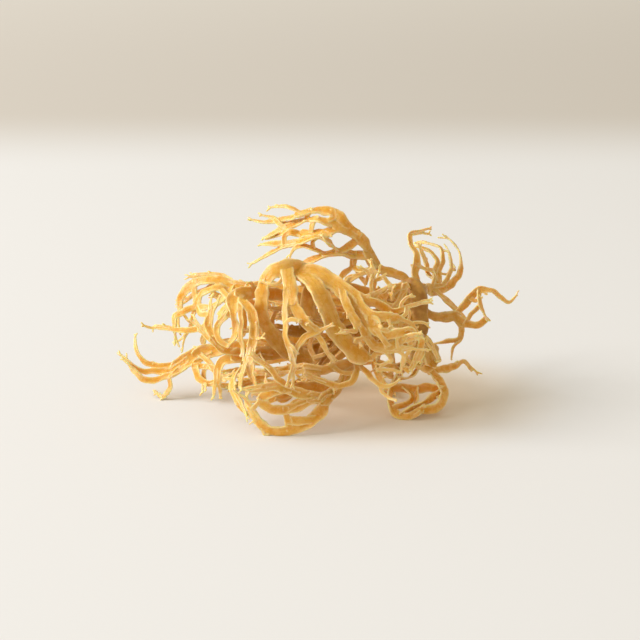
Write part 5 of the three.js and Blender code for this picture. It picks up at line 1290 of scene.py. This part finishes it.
def finish_skin(piece, rng):
    """Eases a fused skin, ripples it along its normals, and keeps it over the table."""
    mesh = piece.data
    edges = read(mesh.edges, "vertices", 2, np.int32)
    places = ease(read(mesh.vertices, "co", 3), edges)
    mesh.vertices.foreach_set("co", places.ravel())
    mesh.update()
    normals = read(mesh.vertices, "normal", 3)
    places = places + normals * (RIPPLE * MM * ripple(places, rng))[:, None]
    places[:, 2] = np.maximum(places[:, 2], 0)
    mesh.vertices.foreach_set("co", places.ravel())
    # A whitish crust, partly painted sheen, round each listed spot.
    crust = np.zeros(len(places))
    for *at, radius in CRUSTS_AND_SHEEN:
        distance = np.linalg.norm(places / MM - placed(np.array(at)), axis=1)
        crust = np.maximum(crust, np.exp(-(distance / radius) ** 2))
    mesh.attributes.new("crust", "FLOAT", "POINT").data.foreach_set("value", crust.astype(np.float32))
    mesh.polygons.foreach_set("use_smooth", np.ones(len(mesh.polygons), bool))
    mesh.update()


def add_piece(name, skins, node, material, rng):
    """Adds a fused piece that stands for a node of the frame."""
    piece = bpy.data.objects.new(name, mesh_from(name, skins))
    bpy.context.scene.collection.objects.link(piece)
    fuse(piece)
    finish_skin(piece, rng)
    thin_out(piece)
    drop_crumbs(piece)
    piece.data.materials.append(material)
    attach(piece, "root")
    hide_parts(node)
    return piece


def stipe_skin():
    """The stipe's skin: a ridged, flattened ring carried along its places, with round ends."""
    points = np.array([[*place, radius] for radius, *place in STIPE], float)
    line = even_line(points, STIPE_STEP, LEAST_ROWS)
    run = unit_rows(np.gradient(line[:, :3], axis=0))
    side = unit_rows(np.array([0, 0, 1.0]) - run * run[:, 2:])
    edge = np.cross(run, side)
    t = np.linspace(0, 1, len(line))
    ends = np.sqrt(1 - np.abs(2 * t - 1) ** STIPE_BLUNT)
    angle = 2 * math.pi * np.arange(STIPE_POINTS) / STIPE_POINTS
    ridges = 1 + STIPE_RIDGE * np.sin(STIPE_RIDGES * angle + STIPE_TURN * t[:, None])
    radius = (line[:, 3] * np.maximum(ends, STIPE_TIP))[:, None] * ridges
    aside = radius * np.cos(angle) * STIPE_WIDE
    lift = radius * np.sin(angle) * STIPE_FLAT
    skin = line[:, None, :3] + edge[:, None] * aside[..., None] + side[:, None] * lift[..., None]
    values = np.zeros((*skin.shape[:2], len(TONES)))
    values[..., TONES.index("root")] = 1
    return closed(skin, line[:, :3], values)


class Shader:
    """A material's nodes, added and joined in short lines."""

    def __init__(self, name):
        self.material = bpy.data.materials.new(name)
        self.material.use_nodes = True
        self.tree = self.material.node_tree
        self.surface = self.tree.nodes["Principled BSDF"]
        self.place = self.add("ShaderNodeTexCoord").outputs["Object"]

    def add(self, kind, **settings):
        node = self.tree.nodes.new(kind)
        for name, value in settings.items():
            setattr(node, name, value)
        return node

    def feed(self, socket, value):
        """Links a socket to another one, or sets its value."""
        if isinstance(value, bpy.types.NodeSocket):
            self.tree.links.new(value, socket)
        else:
            socket.default_value = value

    def set(self, node, **values):
        """Feeds a node's sockets: a socket's name has _ for a space."""
        for name, value in values.items():
            self.feed(node.inputs[name.replace("_", " ")], value)
        return node

    def noise(self, size, detail=NOISE_DETAIL):
        """Noise from 0 to 1 whose features are about a size across, in millimetres."""
        node = self.add("ShaderNodeTexNoise")
        self.set(node, Vector=self.place, Scale=1 / (size * MM), Detail=detail,
                 Roughness=NOISE_ROUGHNESS)
        return node.outputs["Fac"]

    def streaks(self):
        """Noise from 0 to 1 that is drawn out along the straps."""
        lie = self.add("ShaderNodeCombineXYZ")
        self.set(lie, X=self.times(self.attribute("aside"), 1 / STREAK_WIDTH),
                 Y=self.times(self.attribute("along"), 1 / STREAK_LENGTH))
        node = self.add("ShaderNodeTexNoise")
        self.set(node, Vector=lie.outputs["Vector"], Scale=1.0, Detail=STREAK_DETAIL)
        return node.outputs["Fac"]

    def attribute(self, name):
        return self.add("ShaderNodeAttribute", attribute_name=name).outputs["Fac"]

    def between(self, value, low, high, to_low=0.0, to_high=1.0):
        """Maps a value from one range into another, and stays inside it."""
        node = self.add("ShaderNodeMapRange", interpolation_type="SMOOTHSTEP")
        self.set(node, Value=value, From_Min=low, From_Max=high, To_Min=to_low, To_Max=to_high)
        return node.outputs["Result"]

    def times(self, a, b):
        node = self.add("ShaderNodeMath", operation="MULTIPLY")
        self.feed(node.inputs[0], a)
        self.feed(node.inputs[1], b)
        return node.outputs["Value"]

    def mix(self, amount, a, b):
        """A colour between two, each a socket or a colour."""
        node = self.add("ShaderNodeMix", data_type="RGBA")
        self.set(node, Factor=amount)
        for name, colour in (("A", a), ("B", b)):
            socket = next(s for s in node.inputs if s.name == name and s.type == "RGBA")
            self.feed(socket, (*colour, 1) if isinstance(colour, tuple) else colour)
        return next(s for s in node.outputs if s.type == "RGBA")

    def bump(self, height, distance, normal=None):
        node = self.add("ShaderNodeBump")
        self.set(node, Height=height, Distance=distance * MM, Strength=BUMP)
        if normal:
            self.set(node, Normal=normal)
        return node.outputs["Normal"]


def frond_material():
    """Dried frond: golden and translucent, paler at its rims and tips, brown by the stipe, with painted
    shade that darkens it round the tuft's heart, wrinkled, and with a whitish crust, partly painted
    sheen, in places."""
    shader = Shader("dried_frond")
    cloud = shader.between(shader.noise(CLOUD_SIZE), *CLOUD_SPREAD)
    mottle = shader.between(shader.noise(MOTTLE_SIZE, FINE_DETAIL), *MOTTLE_SPREAD)
    streaks = shader.between(shader.streaks(), *STREAK_SPREAD)
    colour = shader.mix(cloud, GOLD, AMBER)
    colour = shader.mix(shader.times(streaks, STREAK_SHARE), colour, AMBER)
    colour = shader.mix(shader.times(mottle, HONEY_SHARE), colour, HONEY)
    colour = shader.mix(shader.times(shader.attribute("rim"), RIM_SHARE), colour, STRAW)
    colour = shader.mix(shader.times(shader.attribute("fine"), FINE_SHARE), colour, STRAW)
    # Brown near the stipe, and painted shade that darkens the straps round the tuft's heart.
    colour = shader.mix(shader.times(shader.attribute("root"), ROOT_AND_SHADE_SHARE), colour, BROWN_AND_SHADE)
    # Whitish crust, partly painted sheen, in noisy patches round the listed spots.
    crust_and_sheen_amount = shader.between(shader.noise(CRUST_AND_SHEEN_SIZE, FINE_DETAIL), *CRUST_AND_SHEEN_SPREAD, 0, CRUST_AND_SHEEN_SHARE)
    colour = shader.mix(shader.times(shader.attribute("crust"), crust_and_sheen_amount), colour, CRUST_AND_SHEEN_WHITE)
    lines = shader.bump(streaks, STREAK_HEIGHT)
    wrinkles = shader.bump(shader.noise(WRINKLE_SIZE, FINE_DETAIL), WRINKLE_HEIGHT, lines)
    grain = shader.bump(shader.noise(GRAIN_SIZE), GRAIN_HEIGHT, wrinkles)
    shader.set(shader.surface, Base_Color=colour, Roughness=shader.between(mottle, 0, 1, *ROUGHNESS),
               Normal=grain, Subsurface_Weight=1.0, Subsurface_Scale=SCATTER * MM,
               Subsurface_Radius=SCATTER_RADIUS, Specular_IOR_Level=SPECULAR)
    return shader.material


def stipe_material():
    """The stipe's dark, leathery brown."""
    shader = Shader("stipe_brown")
    mottle = shader.between(shader.noise(STIPE_MOTTLE, FINE_DETAIL), *MOTTLE_SPREAD)
    colour = shader.mix(mottle, STIPE_DARK, STIPE_LIGHT)
    wrinkles = shader.bump(shader.noise(WRINKLE_SIZE, FINE_DETAIL), STIPE_WRINKLES)
    shader.set(shader.surface, Base_Color=colour, Roughness=STIPE_ROUGHNESS, Normal=wrinkles,
               Subsurface_Weight=1.0, Subsurface_Scale=SCATTER * MM, Subsurface_Radius=SCATTER_RADIUS,
               Specular_IOR_Level=SPECULAR)
    return shader.material


def add_floor():
    """The pale floor, with a painted pool of golden light under the tuft. Far behind it, it fades into a
    darker tone, as a table's blurred edge."""
    low, high = FLOOR_FROM, FLOOR_TO
    mesh = bpy.data.meshes.new("floor")
    left, right = -FLOOR_HALF, FLOOR_HALF
    corners = [(left, low, 0), (right, low, 0), (right, high, 0), (left, high, 0)]
    mesh.from_pydata(corners, [], [(0, 1, 2, 3)])
    floor = bpy.data.objects.new("floor", mesh)
    bpy.context.scene.collection.objects.link(floor)
    shader = Shader("pale_floor")
    apart = shader.add("ShaderNodeSeparateXYZ")
    shader.set(apart, Vector=shader.place)
    distance = shader.add("ShaderNodeVectorMath", operation="DISTANCE")
    shader.set(distance, Vector=shader.place)
    shader.feed(distance.inputs[1], GLOW_AT)
    # Painted light: the floor turns golden near the tuft, as if lit through it.
    glow = shader.between(distance.outputs["Value"], *GLOW, 1, 0)
    near = shader.mix(glow, FLOOR_TONE, PAINTED_GLOW_TONE)
    edge = shader.mix(shader.between(apart.outputs["Y"], *FADE), near, BACKDROP_TONE)
    far = shader.mix(shader.between(apart.outputs["Y"], *FAR_FADE), edge, FAR_TONE)
    shader.set(shader.surface, Base_Color=far, Roughness=FLOOR_ROUGHNESS,
               Specular_IOR_Level=FLOOR_SPECULAR)
    mesh.materials.append(shader.material)


def add_light():
    """One large soft light from the left, and a pale sky that fills the shadows."""
    lamp = bpy.data.lights.new("window", "AREA")
    lamp.shape = "DISK"
    lamp.size = LAMP_SIZE
    lamp.energy = LAMP_POWER
    lamp.color = LAMP_TONE
    light = bpy.data.objects.new("window", lamp)
    light.location = LAMP_AT
    light.rotation_euler = (-light.location).to_track_quat("-Z", "Y").to_euler()
    bpy.context.scene.collection.objects.link(light)
    world = bpy.data.worlds.new("sky")
    world.use_nodes = True
    sky = world.node_tree.nodes["Background"]
    sky.inputs["Color"].default_value = (*SKY_TONE, 1)
    sky.inputs["Strength"].default_value = SKY_STRENGTH
    bpy.context.scene.world = world


def add_camera():
    """The eye that the routes are listed from."""
    data = bpy.data.cameras.new("eye")
    data.sensor_width = FILM_WIDTH
    data.lens = FILM_WIDTH * EYE_DISTANCE / VIEW_WIDTH
    camera = bpy.data.objects.new("eye", data)
    camera.location = (LOOKED_AT - EYE_DISTANCE * ROUTE_AXES[2]) * MM
    camera.rotation_euler = (math.radians(90) - LOOK_DOWN, 0, 0)
    bpy.context.scene.collection.objects.link(camera)
    bpy.context.scene.camera = camera


add_camera()
add_light()
add_floor()
bpy.context.scene.view_settings.view_transform = "Standard"

fronds = [grow_frond(i, name, **FRONDS[name]) for i, name in enumerate(FRONDS)]
stations = [station for frond in fronds for station in frond.stations]
lean_clear(stations)
lay_flat(stations)
measure_reach(stations)

frond_skin = frond_material()
for number, frond in enumerate(fronds):
    rng = np.random.default_rng(number)
    skins = skins_of(frond, rng)
    add_piece(f"{frond.name}_frond", skins, f"frond_{frond.name}", frond_skin, rng)
rng = np.random.default_rng(len(fronds))
add_piece("dark_stipe", [stipe_skin()], "stipe", stipe_material(), rng)
